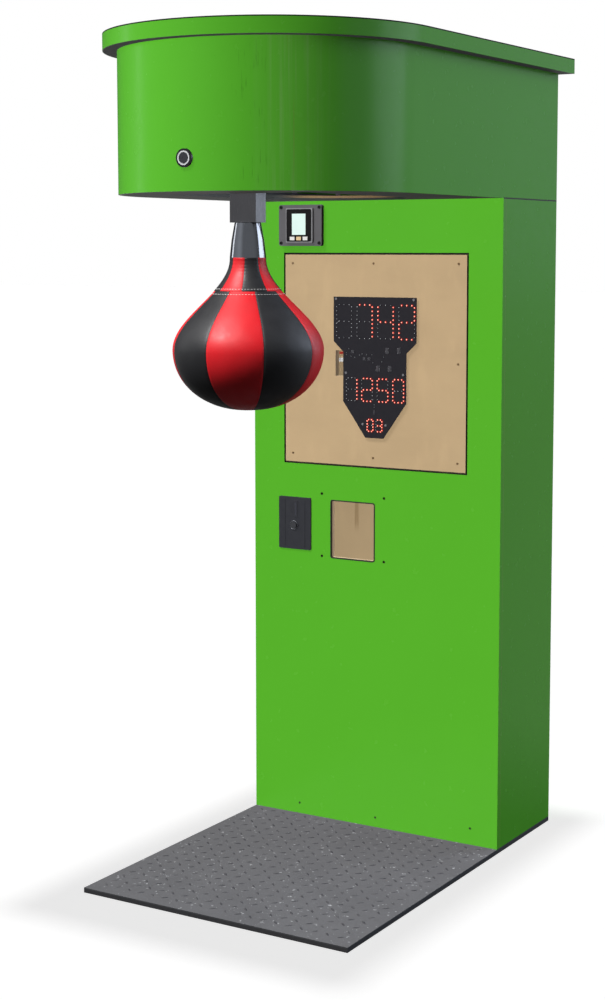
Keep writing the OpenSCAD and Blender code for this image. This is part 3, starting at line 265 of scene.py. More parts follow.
def shade(colour, factor):
    return tuple(min(c * factor, 1) for c in colour[:3]) + (1.0,)


class Look:
    """One node material, built by short calls. Places are in metres on the object's own axes."""

    def __init__(self, name, colour, roughness=0.5, metallic=0.0, specular=0.5, coat=0.0,
                 coat_roughness=0.1, glow=0.0):
        self.material = bpy.data.materials.new(name)
        self.material.use_nodes = True
        self.tree = self.material.node_tree
        self.shader = self.tree.nodes["Principled BSDF"]
        self.colour = colour
        self.place = self.add("ShaderNodeTexCoord").outputs["Object"]
        self.height = None
        self.colour_socket = None
        s = self.shader.inputs
        s["Base Color"].default_value = colour
        s["Roughness"].default_value = roughness
        s["Metallic"].default_value = metallic
        s["Specular IOR Level"].default_value = specular
        s["Coat Weight"].default_value = coat
        s["Coat Roughness"].default_value = coat_roughness
        s["Emission Color"].default_value = colour
        s["Emission Strength"].default_value = glow

    def add(self, kind, **settings):
        node = self.tree.nodes.new(kind)
        for k, v in settings.items():
            setattr(node, k, v)
        return node

    def feed(self, socket, value):
        if isinstance(value, bpy.types.NodeSocket):
            self.tree.links.new(value, socket)
        else:
            socket.default_value = value

    def mapped(self, stretch, place=None):
        """A place drawn out along the axes where stretch is below 1."""
        place = place or self.place
        if not stretch:
            return place
        mapping = self.add("ShaderNodeMapping")
        self.feed(mapping.inputs["Vector"], place)
        mapping.inputs["Scale"].default_value = stretch
        return mapping.outputs[0]

    def noise(self, scale, detail=3.0, roughness=0.55, stretch=None, lean=0.0, place=None):
        """Noise of so many cells in a metre."""
        node = self.add("ShaderNodeTexNoise")
        self.feed(node.inputs["Vector"], self.mapped(stretch, place))
        node.inputs["Scale"].default_value = scale
        node.inputs["Detail"].default_value = detail
        node.inputs["Roughness"].default_value = roughness
        node.inputs["Distortion"].default_value = lean
        return node.outputs["Fac"]

    def cells(self, scale, stretch=None, place=None):
        node = self.add("ShaderNodeTexVoronoi", feature="F1")
        self.feed(node.inputs["Vector"], self.mapped(stretch, place))
        node.inputs["Scale"].default_value = scale
        return node.outputs["Distance"]

    def span(self, value, low, high, to_low=0.0, to_high=1.0):
        """A value spread from one range to another and kept inside it."""
        node = self.add("ShaderNodeMapRange")
        node.interpolation_type = "SMOOTHSTEP"
        self.feed(node.inputs["Value"], value)
        for k, v in (("From Min", low), ("From Max", high), ("To Min", to_low), ("To Max", to_high)):
            node.inputs[k].default_value = v
        return node.outputs["Result"]

    def sum(self, kind, a, b=0.5):
        node = self.add("ShaderNodeMath", operation=kind)
        self.feed(node.inputs[0], a)
        self.feed(node.inputs[1], b)
        return node.outputs[0]

    def product(self, first, *others):
        for other in others:
            first = self.sum("MULTIPLY", first, other)
        return first

    def axis(self, which, source="Object"):
        split = self.add("ShaderNodeSeparateXYZ")
        self.feed(split.inputs[0], self.add("ShaderNodeTexCoord").outputs[source])
        return split.outputs[which]

    def joined(self, x, y, z):
        node = self.add("ShaderNodeCombineXYZ")
        for k, v in enumerate((x, y, z)):
            self.feed(node.inputs[k], v)
        return node.outputs[0]

    def band(self, value, low, high, soft=0.0004):
        """1 where a value is between two limits."""
        return self.product(self.span(value, low - soft, low + soft),
                            self.span(value, high + soft, high - soft))

    def within(self, which, low, high, soft=0.0004):
        return self.band(self.axis(which), low, high, soft)

    def spot(self, x, z, radius, soft):
        """1 inside a round spot seen from the front."""
        across, up = self.sum("SUBTRACT", self.axis(0), x), self.sum("SUBTRACT", self.axis(2), z)
        away = self.sum("SQRT", self.sum("ADD", self.product(across, across), self.product(up, up)))
        return self.span(away, radius + soft, radius - soft)

    def facing(self, which, limit=0.7):
        """1 where the face's normal lies along one axis, either way."""
        return self.sum("GREATER_THAN", self.sum("ABSOLUTE", self.axis(which, "Normal")), limit)

    def blend(self, amount, first, second):
        node = self.add("ShaderNodeMix", data_type="RGBA")
        self.feed(node.inputs["Factor"], amount)
        colours = [s for s in node.inputs if s.type == "RGBA"]
        self.feed(colours[0], first)
        self.feed(colours[1], second)
        return [s for s in node.outputs if s.type == "RGBA"][0]

    def tint(self, amount, colour):
        """Lays another colour over what is there."""
        self.colour_socket = self.blend(amount, self.colour_socket or self.colour, colour)
        self.feed(self.shader.inputs["Base Color"], self.colour_socket)
        return self

    def rough(self, amount, low, high):
        self.feed(self.shader.inputs["Roughness"], self.span(amount, 0.25, 0.75, low, high))
        return self

    def bump(self, value, depth, strength=1.0):
        """Raises the surface by a height in metres where the value is 1."""
        node = self.add("ShaderNodeBump")
        node.inputs["Strength"].default_value = strength
        node.inputs["Distance"].default_value = depth
        self.feed(node.inputs["Height"], value)
        if self.height:
            self.tree.links.new(self.height, node.inputs["Normal"])
        self.height = node.outputs["Normal"]
        self.tree.links.new(self.height, self.shader.inputs["Normal"])
        return self


GREEN = srgb(85, 174, 41)
TAN = srgb(187, 161, 124)


def painted(name, colour=GREEN):
    """Satin paint on board: faint clouds, roller texture and fine dirt."""
    m = Look(name, colour, roughness=0.24, specular=0.21)
    m.tint(m.span(m.noise(2.6, 3), 0.35, 0.7, 0, 0.3), shade(colour, 0.94))
    m.tint(m.span(m.noise(9, 4, 0.6), 0.5, 0.8, 0, 0.25), shade(colour, 1.03))
    m.tint(m.span(m.noise(150, 2, 0.6), 0.76, 0.82, 0, 0.6), shade(colour, 0.5))
    m.tint(m.span(m.noise(55, 4, 0.7, lean=1.2), 0.7, 0.78, 0, 0.25), shade(colour, 0.8))
    m.rough(m.noise(34, 4), 0.2, 0.28)
    m.bump(m.noise(420, 2, 0.5), 0.00004)
    m.bump(m.noise(14, 2), 0.0003)
    return m


def raw_board(name, colour=TAN):
    """Pressed fibre board: mottled, with dark and light fibres."""
    m = Look(name, colour, roughness=0.72, specular=0.15)
    m.tint(m.span(m.noise(8, 4, 0.55, stretch=(0.5, 1, 1)), 0.35, 0.72, 0, 0.6), shade(colour, 0.88))
    m.tint(m.span(m.noise(17, 3, 0.5, stretch=(1, 1, 0.4)), 0.5, 0.75, 0, 0.5), shade(colour, 1.1))
    m.tint(m.span(m.noise(420, 3, 0.7), 0.62, 0.72, 0, 0.5), shade(colour, 0.7))
    m.tint(m.span(m.noise(900, 1), 0.66, 0.74, 0, 0.4), shade(colour, 1.25))
    m.rough(m.noise(60, 3), 0.62, 0.82)
    m.bump(m.noise(700, 2, 0.6), 0.00008)
    m.bump(m.noise(30, 2), 0.0002)
    return m


def cut_edges(m, mask, colour=srgb(200, 180, 152)):
    """Raw board where the mask says that the paint was cut through."""
    grain = m.noise(300, 3, 0.7)
    m.tint(mask, m.blend(m.span(grain, 0.35, 0.65), shade(colour, 0.8), shade(colour, 1.08)))


def painted_light_at(m, mask, colour, strength):
    """Paints light on a deep wall that no lamp reaches: a faint glow of the given colour stands in
    for the light that would fall on it.
    """
    m.feed(m.shader.inputs["Emission Color"], colour)
    m.feed(m.shader.inputs["Emission Strength"], m.product(mask, strength))


def metal(name, colour, roughness=0.35, brushed=None, metallic=1.0, specular=0.5):
    """Bare or plated metal with fine scratches and faint stains."""
    m = Look(name, colour, roughness=roughness, metallic=metallic, specular=specular)
    m.tint(m.span(m.noise(18, 4), 0.4, 0.75, 0, 0.5), shade(colour, 0.8))
    scratches = m.noise(520, 3, 0.6, stretch=brushed)
    m.tint(m.span(scratches, 0.55, 0.75, 0, 0.35), shade(colour, 1.25))
    m.tint(m.span(m.noise(130, 3, 0.7), 0.7, 0.78, 0, 0.35), shade(colour, 0.5))
    m.rough(scratches, roughness * 0.75, min(roughness * 1.3, 1))
    m.bump(scratches, 0.00003)
    return m


def plastic(name, colour, roughness=0.42, specular=0.4, grain=900, glow=0.0):
    m = Look(name, colour, roughness=roughness, specular=specular, glow=glow)
    m.tint(m.span(m.noise(40, 3), 0.4, 0.75, 0, 0.4), shade(colour, 0.86))
    m.tint(m.span(m.noise(500, 2), 0.68, 0.78, 0, 0.3), shade(colour, 1.3))
    m.rough(m.noise(120, 3), roughness * 0.85, roughness * 1.15)
    m.bump(m.noise(grain, 2, 0.6), 0.00004)
    return m


def dress(look, *names):
    """Gives CAD nodes a material."""
    for name in names:
        slots = nodes[name].data.materials
        if len(slots) == 0:
            slots.append(look.material)
        for i in range(len(slots)):
            slots[i] = look.material


dress(painted("green_paint"), "hood_back", "lid_edge_band")
# paint covers only the outer faces: the cabinet's inside is raw board
INSIDE_BOARD = srgb(176, 150, 112)
# the joint between the hood's wall and the cabinet's sides: a dark band painted over both edges is
# painted shade, for the shadow in the crack
JOINT_LEVEL, JOINT_HALF = 1.750, 0.0018
# painted shade: a near black laid into gaps, slits and holes where shade falls
painted_shade = srgb(32, 32, 26)
sides = painted("green_sides")
cut_edges(sides, sides.sum("LESS_THAN", sides.sum("ABSOLUTE", sides.axis(0)), 0.3675), INSIDE_BOARD)
# painted shade along the joint, on the side panels' top edge
sides.tint(sides.sum("GREATER_THAN", sides.axis(2), JOINT_LEVEL - JOINT_HALF), painted_shade)
dress(sides, "side_panels")
rear = painted("green_rear")
cut_edges(rear, rear.sum("LESS_THAN", rear.axis(1), 0.3225), INSIDE_BOARD)
dress(rear, "back_frame", "rear_door")

BOLT_X, BOLT_Z = (-0.1635, 0.0345), (0.764, 0.940)
front = painted("green_front")
sideways = front.sum("SUBTRACT", 1.0, front.facing(1))
cut_edges(front, front.product(front.within(0, -0.14, 0.01), front.within(2, 0.75, 0.93), sideways))
# painted light: the window's side walls, which no lamp reaches, glow faintly in a pale tan
painted_light_at(front, front.product(front.within(0, -0.14, 0.01), front.within(2, 0.75, 0.93),
                             front.facing(0)), srgb(200, 180, 160), 0.28)
# painted shade: the cut walls round the display opening and a thin border on the face are dark, for
# the shadow in the gap round the panel
front.tint(front.product(front.within(0, -0.2866, 0.2866), front.within(2, 1.0204, 1.6086)), painted_shade)
# painted shade: dark spots over the four bolt holes round the window
for x, z in itertools.product(BOLT_X, BOLT_Z):
    front.tint(front.spot(x, z, 0.0039, 0.0006), painted_shade)
cut_edges(front, front.sum("GREATER_THAN", front.axis(1), 0.0175), INSIDE_BOARD)
# painted shade along the joint, on the front panel's side edges
front.tint(front.product(front.sum("GREATER_THAN", front.axis(2), JOINT_LEVEL - JOINT_HALF),
                         front.facing(0)), painted_shade)
dress(front, "front_panel")

# the hood's wall: short dark scratches and a few pale drawn lines on its round front
hood = painted("green_hood")
across = hood.sum("ARCTAN2", hood.axis(0), hood.sum("SUBTRACT", -0.495, hood.axis(1)))
unrolled = hood.joined(hood.product(across, 0.385), 0.0, hood.axis(2))
scratched = hood.product(hood.span(hood.noise(300, 2, 0.6, stretch=(1, 1, 0.05), place=unrolled),
                                   0.57, 0.68),
                         hood.span(hood.noise(12, 2, place=unrolled), 0.46, 0.64),
                         hood.band(across, 0.31, 0.52, 0.05))
hood.tint(hood.product(scratched, 0.75), shade(GREEN, 0.36))
hood.tint(hood.product(hood.span(hood.noise(95, 3, 0.6, stretch=(1, 1, 0.02), place=unrolled),
                                 0.4, 0.75, 0.02, 0.16),
                       hood.band(across, 0.52, 0.84, 0.14)), srgb(190, 184, 166))
drawn = hood.product(hood.span(hood.noise(210, 1, stretch=(1, 1, 0.012), place=unrolled),
                               0.66, 0.74),
                     hood.band(across, 0.55, 0.78, 0.05))
hood.tint(hood.product(drawn, 0.4), srgb(120, 130, 60))
# painted shade along the joint, on the hood wall's lower edge over the cabinet
hood.tint(hood.product(hood.sum("LESS_THAN", hood.axis(2), JOINT_LEVEL + JOINT_HALF),
                       hood.sum("GREATER_THAN", hood.axis(1), 0.0)), painted_shade)
dress(hood, "hood_shell")

panel = raw_board("raw_board")
sideways = panel.sum("SUBTRACT", 1.0, panel.facing(1))
# painted shade: the display panel's outer edges are dark, for the shadow in the gap round it
panel.tint(panel.sum("SUBTRACT", 1.0, panel.product(panel.within(0, -0.2814, 0.2814),
                                                    panel.within(2, 1.0257, 1.6033))), painted_shade)
panel.tint(panel.product(sideways, panel.within(0, -0.14, -0.05), panel.within(2, 1.25, 1.36)),
           srgb(164, 146, 120))
# painted light: the wiring slot's side walls glow faintly
painted_light_at(panel, panel.product(panel.facing(0), panel.within(0, -0.14, -0.05),
                             panel.within(2, 1.25, 1.36)), srgb(170, 156, 136), 0.22)
dress(panel, "display_panel")
# painted shade: the recess board is a darker copy of raw board, for the shade inside the window
recess = raw_board("recess_board", srgb(164, 142, 109))
# a darker vertical streak, about 14 mm wide, down the upper part of the board
grain = recess.product(recess.within(0, -0.068, -0.0545, 0.003),
                       recess.within(2, 0.852, 0.95, 0.02),
                       recess.span(recess.noise(160, 2, stretch=(1, 1, 0.03)), 0.3, 0.6, 0.5, 1.0))
recess.tint(recess.product(grain, 0.7), srgb(128, 106, 74))
dress(recess, "recess_back_board")
batten = raw_board("batten_wood", srgb(176, 146, 104))
batten.tint(batten.span(batten.noise(60, 4, 0.6, stretch=(1, 1, 0.04)), 0.4, 0.7, 0, 0.6),
            srgb(150, 116, 78))
# painted shade: the battens' front faces, seen only through slits, are near black; behind the wiring
# slot a dimmer tan stands in for the shade at the slot's back
ahead = batten.product(batten.facing(1), batten.sum("LESS_THAN", batten.axis(1), 0.019))
batten.tint(ahead, srgb(22, 20, 18))
batten.tint(batten.product(ahead, batten.within(0, -0.1314, -0.0614),
                           batten.within(2, 1.2585, 1.3535)), srgb(152, 131, 100))
dress(batten, "inner_battens")

dark = plastic("dark_board", srgb(64, 69, 67), roughness=0.55)
rear_edge = dark.product(dark.within(0, -0.17, 0.12, 0.03), dark.within(1, -0.225, -0.02),
                         dark.within(2, 1.7555, 1.7617),
                         dark.sum("SUBTRACT", 1.0, dark.facing(2)))
cut_edges(dark, rear_edge, srgb(176, 146, 104))
dress(dark, "hood_floor")
dress(plastic("lid_board", srgb(48, 50, 50), roughness=0.6), "lid_board")
dress(plastic("lid_sheet", srgb(14, 16, 14), roughness=0.8, specular=0.2), "lid_top_sheet")
dress(plastic("base_board", srgb(38, 38, 40), roughness=0.6), "base_board")

rubber = Look("tread_rubber", srgb(88, 88, 90), roughness=0.62, specular=0.35)
rubber.tint(rubber.span(rubber.noise(5, 4), 0.35, 0.7, 0, 0.5), srgb(80, 80, 82))
rubber.tint(rubber.span(rubber.noise(160, 3, 0.7), 0.55, 0.75, 0, 0.45), srgb(70, 70, 72))
# painted glints: small light specks on the sheet
rubber.tint(rubber.span(rubber.noise(110, 1), 0.705, 0.75, 0, 0.9), srgb(158, 159, 161))
rubber.tint(rubber.span(rubber.noise(120, 2, place=rubber.joined(
    rubber.axis(1), rubber.axis(0), 0.0)), 0.72, 0.77, 0, 0.7), srgb(48, 48, 50))
rubber.tint(rubber.sum("SUBTRACT", 1.0, rubber.facing(2)), srgb(50, 51, 53))
rubber.rough(rubber.noise(40, 3), 0.52, 0.7)
rubber.bump(rubber.noise(500, 2), 0.00008)
dress(rubber, "tread_sheet_cover")
# painted shade: the lugs are a darker copy of the sheet's own rubber, for their shaded sides
shaded_lug_rubber = plastic("lug_rubber", srgb(60, 60, 63), roughness=0.5)
shaded_lug_rubber.tint(shaded_lug_rubber.span(shaded_lug_rubber.noise(26, 2), 0.45, 0.6, 0, 0.7), srgb(78, 78, 80))

zinc = metal("zinc_steel", srgb(186, 188, 190), 0.38)
dress(zinc, "door_frame_hinges", "door_leaf_hinges", "lock_barrel", "lock_cam", "coin_chute")
screws = metal("screw_brown", srgb(122, 98, 68), 0.45, metallic=0.2)
screws.tint(screws.sum("GREATER_THAN", screws.axis(2), 1.61), srgb(26, 26, 28))
screws.tint(screws.sum("LESS_THAN", screws.axis(2), 0.5), srgb(30, 46, 22))
dress(screws, "front_screws")
dress(plastic("spacer_grey", srgb(116, 116, 120), roughness=0.35), "board_spacers")
dress(metal("box_metal", srgb(150, 153, 157), 0.45), "cash_box")
dress(metal("supply_metal", srgb(168, 172, 176), 0.4), "power_supply")

circuit = plastic("circuit_black", srgb(34, 33, 38), roughness=0.4, specular=0.3)
dress(circuit, "dot_board")
lens_core = plastic("lens_core", srgb(255, 176, 150), roughness=0.3, glow=0.8)
lens_body = plastic("lens_body", srgb(232, 30, 26), roughness=0.3, glow=0.6)
lens_rim = plastic("lens_rim", srgb(120, 12, 14), roughness=0.35, glow=0.3)
# painted light: the red glow the LEDs throw on the board
painted_led_glow = plastic("painted_led_glow", srgb(92, 26, 28), roughness=0.4)
lens_clear = plastic("lens_clear", srgb(184, 188, 192), roughness=0.25)
lens_edge = plastic("lens_edge", srgb(40, 39, 43), roughness=0.3)
dress(lens_body, "lit_dots")
dress(lens_clear, "unlit_dots")

plug = plastic("plug_white", srgb(206, 206, 204))
plug.tint(plug.span(plug.noise(260, 2), 0.45, 0.6, 0, 0.8), srgb(120, 122, 124))
plug.tint(plug.within(2, 1.328, 1.34, 0.001), srgb(150, 40, 26))
dress(plug, "wiring_plug")
trim = plastic("trim_black", srgb(38, 44, 34), roughness=0.5)
dress(trim, "window_trim")

housing = plastic("terminal_grey", srgb(91, 90, 93), roughness=0.45)
# painted highlight: the raised rim round the glass is lighter grey on its front faces
housing.tint(housing.product(housing.within(0, -0.2688, -0.1842), housing.within(2, 1.6366, 1.7304),
                             housing.facing(1)), srgb(138, 138, 141))
dress(housing, "terminal_housing")
dress(plastic("glass_black", srgb(27, 26, 27), roughness=0.12, specular=0.12), "terminal_glass")
pale_screen = plastic("screen_white", srgb(150, 166, 160), roughness=0.2, glow=0.72)
keys = pale_screen.span(pale_screen.axis(2), 1.656, 1.654)
warm = pale_screen.product(keys, pale_screen.within(0, -0.236, -0.217))
pale_screen.tint(keys, srgb(216, 216, 214))
pale_screen.tint(warm, srgb(214, 186, 140))
pale_screen.feed(pale_screen.shader.inputs["Emission Color"], pale_screen.blend(
    keys, srgb(206, 228, 222), srgb(74, 72, 66)))
dress(pale_screen, "terminal_screen")

coin_metal = plastic("coin_metal", srgb(46, 47, 52), roughness=0.45, specular=0.35)
# painted light: the coin slot's side walls glow faintly, so the slot reads as a thin light line
painted_light_at(coin_metal, coin_metal.product(coin_metal.within(0, -0.2489, -0.2451),
                                       coin_metal.within(2, 0.872, 0.91),
                                       coin_metal.facing(0)), srgb(96, 97, 108), 0.55)
dress(coin_metal, "coin_plate")
knob = metal("knob_metal", srgb(66, 67, 71), 0.35, metallic=0.3)
dress(knob, "coin_return_button")
black_plastic = plastic("black_plastic", srgb(46, 48, 51))
dress(black_plastic, "coin_mechanism", "speed_sensor")
dress(plastic("circuit_green", srgb(40, 96, 62), roughness=0.35), "control_board")
dress(plastic("inlet_black", srgb(30, 30, 32)), "mains_inlet")
dress(plastic("switch_red", srgb(176, 36, 30), roughness=0.3), "inlet_switch")

dress(plastic("bezel_black", srgb(24, 24, 26), roughness=0.35), "button_bezel")
chrome = metal("chrome", srgb(222, 223, 226), 0.2, metallic=0.25)
dress(chrome, "button_ring")
dress(plastic("cap_black", srgb(50, 50, 56), roughness=0.3), "button_cap")

frame_steel = metal("frame_steel", srgb(70, 72, 76), 0.5, metallic=0.4)
dress(frame_steel, "bearing_rails", "stop_crossbar", "catch_bracket")
dress(metal("bearing_iron", srgb(60, 98, 78), 0.5, metallic=0.1), "bearing_housings")
ground = metal("ground_steel", srgb(190, 193, 197), 0.25, brushed=(0.04, 1, 1))
dress(ground, "bearing_units", "pivot_shaft", "speed_disc", "solenoid_plunger", "bag_stem")
arm = metal("arm_steel", srgb(58, 58, 61), 0.22, brushed=(1, 1, 0.04), metallic=0.0,
            specular=0.68)
dress(arm, "swing_arm")
dress(metal("striker_steel", srgb(164, 167, 171), 0.35), "striker")
collar = metal("collar_metal", srgb(158, 161, 168), 0.1, brushed=(1, 1, 0.03))
dress(collar, "neck_collar")
dress(plastic("buffer_rubber", srgb(26, 26, 28), roughness=0.7), "stop_buffers")
dress(metal("hook_bronze", srgb(180, 124, 56), 0.4), "catch_hook")
dress(plastic("solenoid_black", srgb(54, 56, 60)), "solenoid_body")
foam = Look("bag_foam", srgb(185, 169, 135), roughness=0.9)
foam.tint(foam.span(foam.cells(160), 0.2, 0.6, 0, 0.6), srgb(150, 134, 104))
foam.bump(foam.cells(160), 0.0008)
dress(foam, "bag_filling")

# ---------------------------------------------------------------- ways to make a piece

mechanism_pieces = []
cabinet_pieces = []


def new_object(name, bm, looks, body, smooth=None, group=None):
    """A piece from a mesh. smooth is the angle in degrees above which an edge stays sharp."""
    bmesh.ops.recalc_face_normals(bm, faces=bm.faces)
    mesh = bpy.data.meshes.new(name)
    bm.to_mesh(mesh)
    bm.free()
    for p in mesh.polygons:
        p.use_smooth = True
    if smooth:
        mesh.set_sharp_from_angle(angle=math.radians(smooth))
    obj = bpy.data.objects.new(name, mesh)
    scene.collection.objects.link(obj)
    for look in looks:
        mesh.materials.append(look.material)
    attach(obj, body)
    if group is not None:
        group.append(obj)
    return obj


def turned(bm, profile, place, axis, sides=24, material=0):
    """A shape turned about an axis: profile holds (radius, height) from its foot to its top."""
    aim = Vector(axis).to_track_quat("Z", "Y").to_matrix()
    rings = []
    for radius, height in profile:
        count = sides if radius > 0 else 1
        ring = []
        for i in range(count):
            a = 2 * math.pi * i / count
            point = Vector((radius * math.cos(a), radius * math.sin(a), height))
            ring.append(bm.verts.new(Vector(place) + aim @ point))
        rings.append(ring)
    for low, high in zip(rings, rings[1:]):
        for i in range(sides):
            j = (i + 1) % sides
            corners = (low[i % len(low)], low[j % len(low)], high[j % len(high)],
                       high[i % len(high)])
            face = bm.faces.new(list(dict.fromkeys(corners)))
            face.material_index = material


def slab(bm, low, high, chamfer=0.0004, material=0):
    """A block with broken edges between two corners."""
    corners, loops = {}, []
    for s in itertools.product((0, 1), repeat=3):
        spot = [(low, high)[s[k]][k] for k in range(3)]
        corners[s] = []
        for a in range(3):
            inward = [0 if k == a else (chamfer, -chamfer)[s[k]] for k in range(3)]
            corners[s].append(bm.verts.new([spot[k] + inward[k] for k in range(3)]))
        loops.append(corners[s])
    for a in range(3):
        b, c = (a + 1) % 3, (a + 2) % 3
        for end in (0, 1):
            ring = []
            for u, v in ((0, 0), (1, 0), (1, 1), (0, 1)):
                s = [0, 0, 0]
                s[a], s[b], s[c] = end, u, v
                ring.append(corners[tuple(s)][a])
            loops.append(ring)
        for u, v in itertools.product((0, 1), repeat=2):
            s = [0, 0, 0]
            s[b], s[c] = u, v
            near = corners[tuple(s)]
            s[a] = 1
            far = corners[tuple(s)]
            loops.append([near[b], near[c], far[c], far[b]])
    for loop in loops:
        bm.faces.new(loop).material_index = material


def tube(bm, path, radius, sides=8, material=0):
    """A round rod or wire along a path."""
    path = [Vector(p) for p in path]
    rings, side = [], Vector((0.31, 0.2, 0.93))
    for i, p in enumerate(path):
        ahead = (path[min(i + 1, len(path) - 1)] - path[max(i - 1, 0)]).normalized()
        side = (side - ahead * side.dot(ahead)).normalized()
        other = ahead.cross(side)
        rings.append([bm.verts.new(p + radius * (side * math.cos(a) + other * math.sin(a)))
                      for a in (2 * math.pi * k / sides for k in range(sides))])
    for low, high in zip(rings, rings[1:]):
        for i in range(sides):
            j = (i + 1) % sides
            bm.faces.new((low[i], low[j], high[j], high[i])).material_index = material
    for ring in (rings[0], rings[-1]):
        bm.faces.new(ring).material_index = material


def hex_bolt(bm, place, axis, radius, height, washer=0.0, stud=0.0, material=0):
    """A hexagon head, with a washer under it or the stud's end standing out of it if asked."""
    foot = 0.0
    if washer:
        turned(bm, [(washer, 0), (washer, 0.0014), (washer - 0.0003, 0.0017), (0, 0.0017)],
               place, axis, 24, material)
        foot = 0.0016
    top = foot + height
    turned(bm, [(radius, foot), (radius, top - radius * 0.12), (radius * 0.86, top), (0, top)],
           place, axis, 6, material)
    if stud:
        size = radius * 0.52
        turned(bm, [(size, top - 0.0005), (size, top + stud - 0.0006),
                    (size - 0.0006, top + stud), (0, top + stud)], place, axis, 16, material)


def pan_screw(bm, place, axis, radius, rise, material=0, recess=1):
    """A low domed screw head with a cross recess, whose hollow is painted shade: two flat dark
    sheets laid on its top.
    """
    dome = [(radius, -0.0002), (radius * 0.97, rise * 0.45), (radius * 0.75, rise * 0.85),
            (radius * 0.4, rise), (0, rise)]
    turned(bm, dome, place, axis, 20, material)
    aim = Vector(axis).to_track_quat("Z", "Y").to_matrix()
    half, thin = radius * 0.5, radius * 0.11
    for u, v in ((half, thin), (thin, half)):
        ring = [bm.verts.new(Vector(place) + aim @ Vector((x * u, y * v, rise + 0.00005)))
                for x, y in ((-1, -1), (1, -1), (1, 1), (-1, 1))]
        bm.faces.new(ring).material_index = recess


# ---------------------------------------------------------------- the bag

BAG_Y = -0.620
BALL_LEVEL, BALL_RADIUS, BALL_DEPTH = 1.375, 0.184, 0.146
COLLAR_BOTTOM, COLLAR_RADIUS = 1.596, 0.044
SKIRT_HEM = 1.518
GORES = 8
SKIRT_TURN = -22.5
STITCH_PITCH = 0.0077
RED, BLACK, SEAM = 0, 1, 2


def shoulder(z):
    """Radius of the bag's outer leather at a height above its widest level."""
    t = (z - BALL_LEVEL) / (COLLAR_BOTTOM - BALL_LEVEL)
    return COLLAR_RADIUS + (BALL_RADIUS - COLLAR_RADIUS) * (1 + math.cos(math.pi * t)) / 2


def leather(name, colour):
    """Smooth coated leather: fine grain, faint creases and worn sheen."""
    m = Look(name, colour, roughness=0.48, specular=0.34)
    m.tint(m.span(m.noise(16, 4, 0.6), 0.42, 0.75, 0, 0.45), shade(colour, 0.82))
    m.tint(m.span(m.noise(46, 3, 0.6), 0.55, 0.8, 0, 0.3), shade(colour, 1.15))
    pores = m.cells(900)
    m.tint(m.span(pores, 0.4, 0.8, 0, 0.25), shade(colour, 0.7))
    m.rough(m.noise(30, 4), 0.43, 0.56)
    m.bump(pores, 0.0001, 0.5)
    m.bump(m.noise(70, 4, 0.6), 0.0004, 0.5)
    return m


red_leather = leather("red_leather", srgb(212, 26, 35))
black_leather = leather("black_leather", srgb(36, 36, 38))
seam_thread = leather("seam_thread", srgb(20, 18, 19))
thread_white = plastic("thread_white", srgb(226, 224, 220), roughness=0.8)


def eased(count):
    """Places from 0 to 1 that lie closer together near both ends."""
    return [(1 - math.cos(math.pi * i / count)) / 2 for i in range(count + 1)]


def sewn(a, r, run, turn, seam, puff):
    """How far a gored shell stands out at an angle: drawn in at each seam, full between them."""
    t = ((a - math.radians(turn)) * GORES / (2 * math.pi)) % 1.0
    near = min(t, 1 - t) * 2 * math.pi / GORES * r
    groove = -seam * math.exp(-((near / 0.0022) ** 2))
    wave = 0.0002 * math.exp(-((near / 0.011) ** 2)) * math.sin(2 * math.pi * run / 0.0085)
    full = puff * (math.sin(math.pi * t) ** 0.8 - 1) * min(r / 0.1, 1)
    return groove + wave + full


def gored_shell(rows, turn, seam, puff, columns, first_colour):
    """A shell sewn from gores: rows of (radius, z) from the bottom up, seams pulled in."""
    bm = bmesh.new()
    places = []
    for g in range(GORES):
        for k, t in enumerate(eased(columns)[:-1]):
            colour = SEAM if k in (0, columns - 1) else (g + first_colour) % 2
            places.append((math.radians(turn) + (g + t) * 2 * math.pi / GORES, colour))
    grid, run, last = [], 0.0, rows[0]
    for r, z in rows:
        run += math.hypot(r - last[0], z - last[1])
        last = (r, z)
        ring = []
        for a, colour in places:
            radius = max(r + sewn(a, r, run, turn, seam, puff), 0.0004)
            ring.append(bm.verts.new((radius * math.sin(a), BAG_Y - radius * math.cos(a), z)))
        grid.append(ring)
    for low, high in zip(grid, grid[1:]):
        for i, (a, colour) in enumerate(places):
            j = (i + 1) % len(places)
            face = bm.faces.new((low[i], low[j], high[j], high[i]))
            face.material_index = colour
    return bm


def ball_radius(z):
    inset = 0.0012 * min((z - BALL_LEVEL) / 0.143, 1)
    return shoulder(z) - inset - 0.15 * max(z - SKIRT_HEM - 0.001, 0)


def ball_rows():
    rows = []
    for i in range(46):
        a = math.radians(90 * (1 - i / 46))
        rows.append((BALL_RADIUS * math.cos(a) ** 0.9 if i else 0.0006,
                     BALL_LEVEL - BALL_DEPTH * math.sin(a)))
    for i in range(50):
        z = BALL_LEVEL + (SKIRT_HEM + 0.012 - BALL_LEVEL) * i / 49
        rows.append((ball_radius(z), z))
    return rows


def skirt_rows():
    rows = [(shoulder(SKIRT_HEM) - 0.0010, SKIRT_HEM), (shoulder(SKIRT_HEM) - 0.0004,
                                                        SKIRT_HEM + 0.0006)]
    for i in range(44):
        z = SKIRT_HEM + 0.002 + (COLLAR_BOTTOM - 0.0005 - SKIRT_HEM) * i / 43
        rows.append((shoulder(min(z, COLLAR_BOTTOM)), z))
    rows.append((COLLAR_RADIUS - 0.0016, COLLAR_BOTTOM + 0.0022))
    return rows


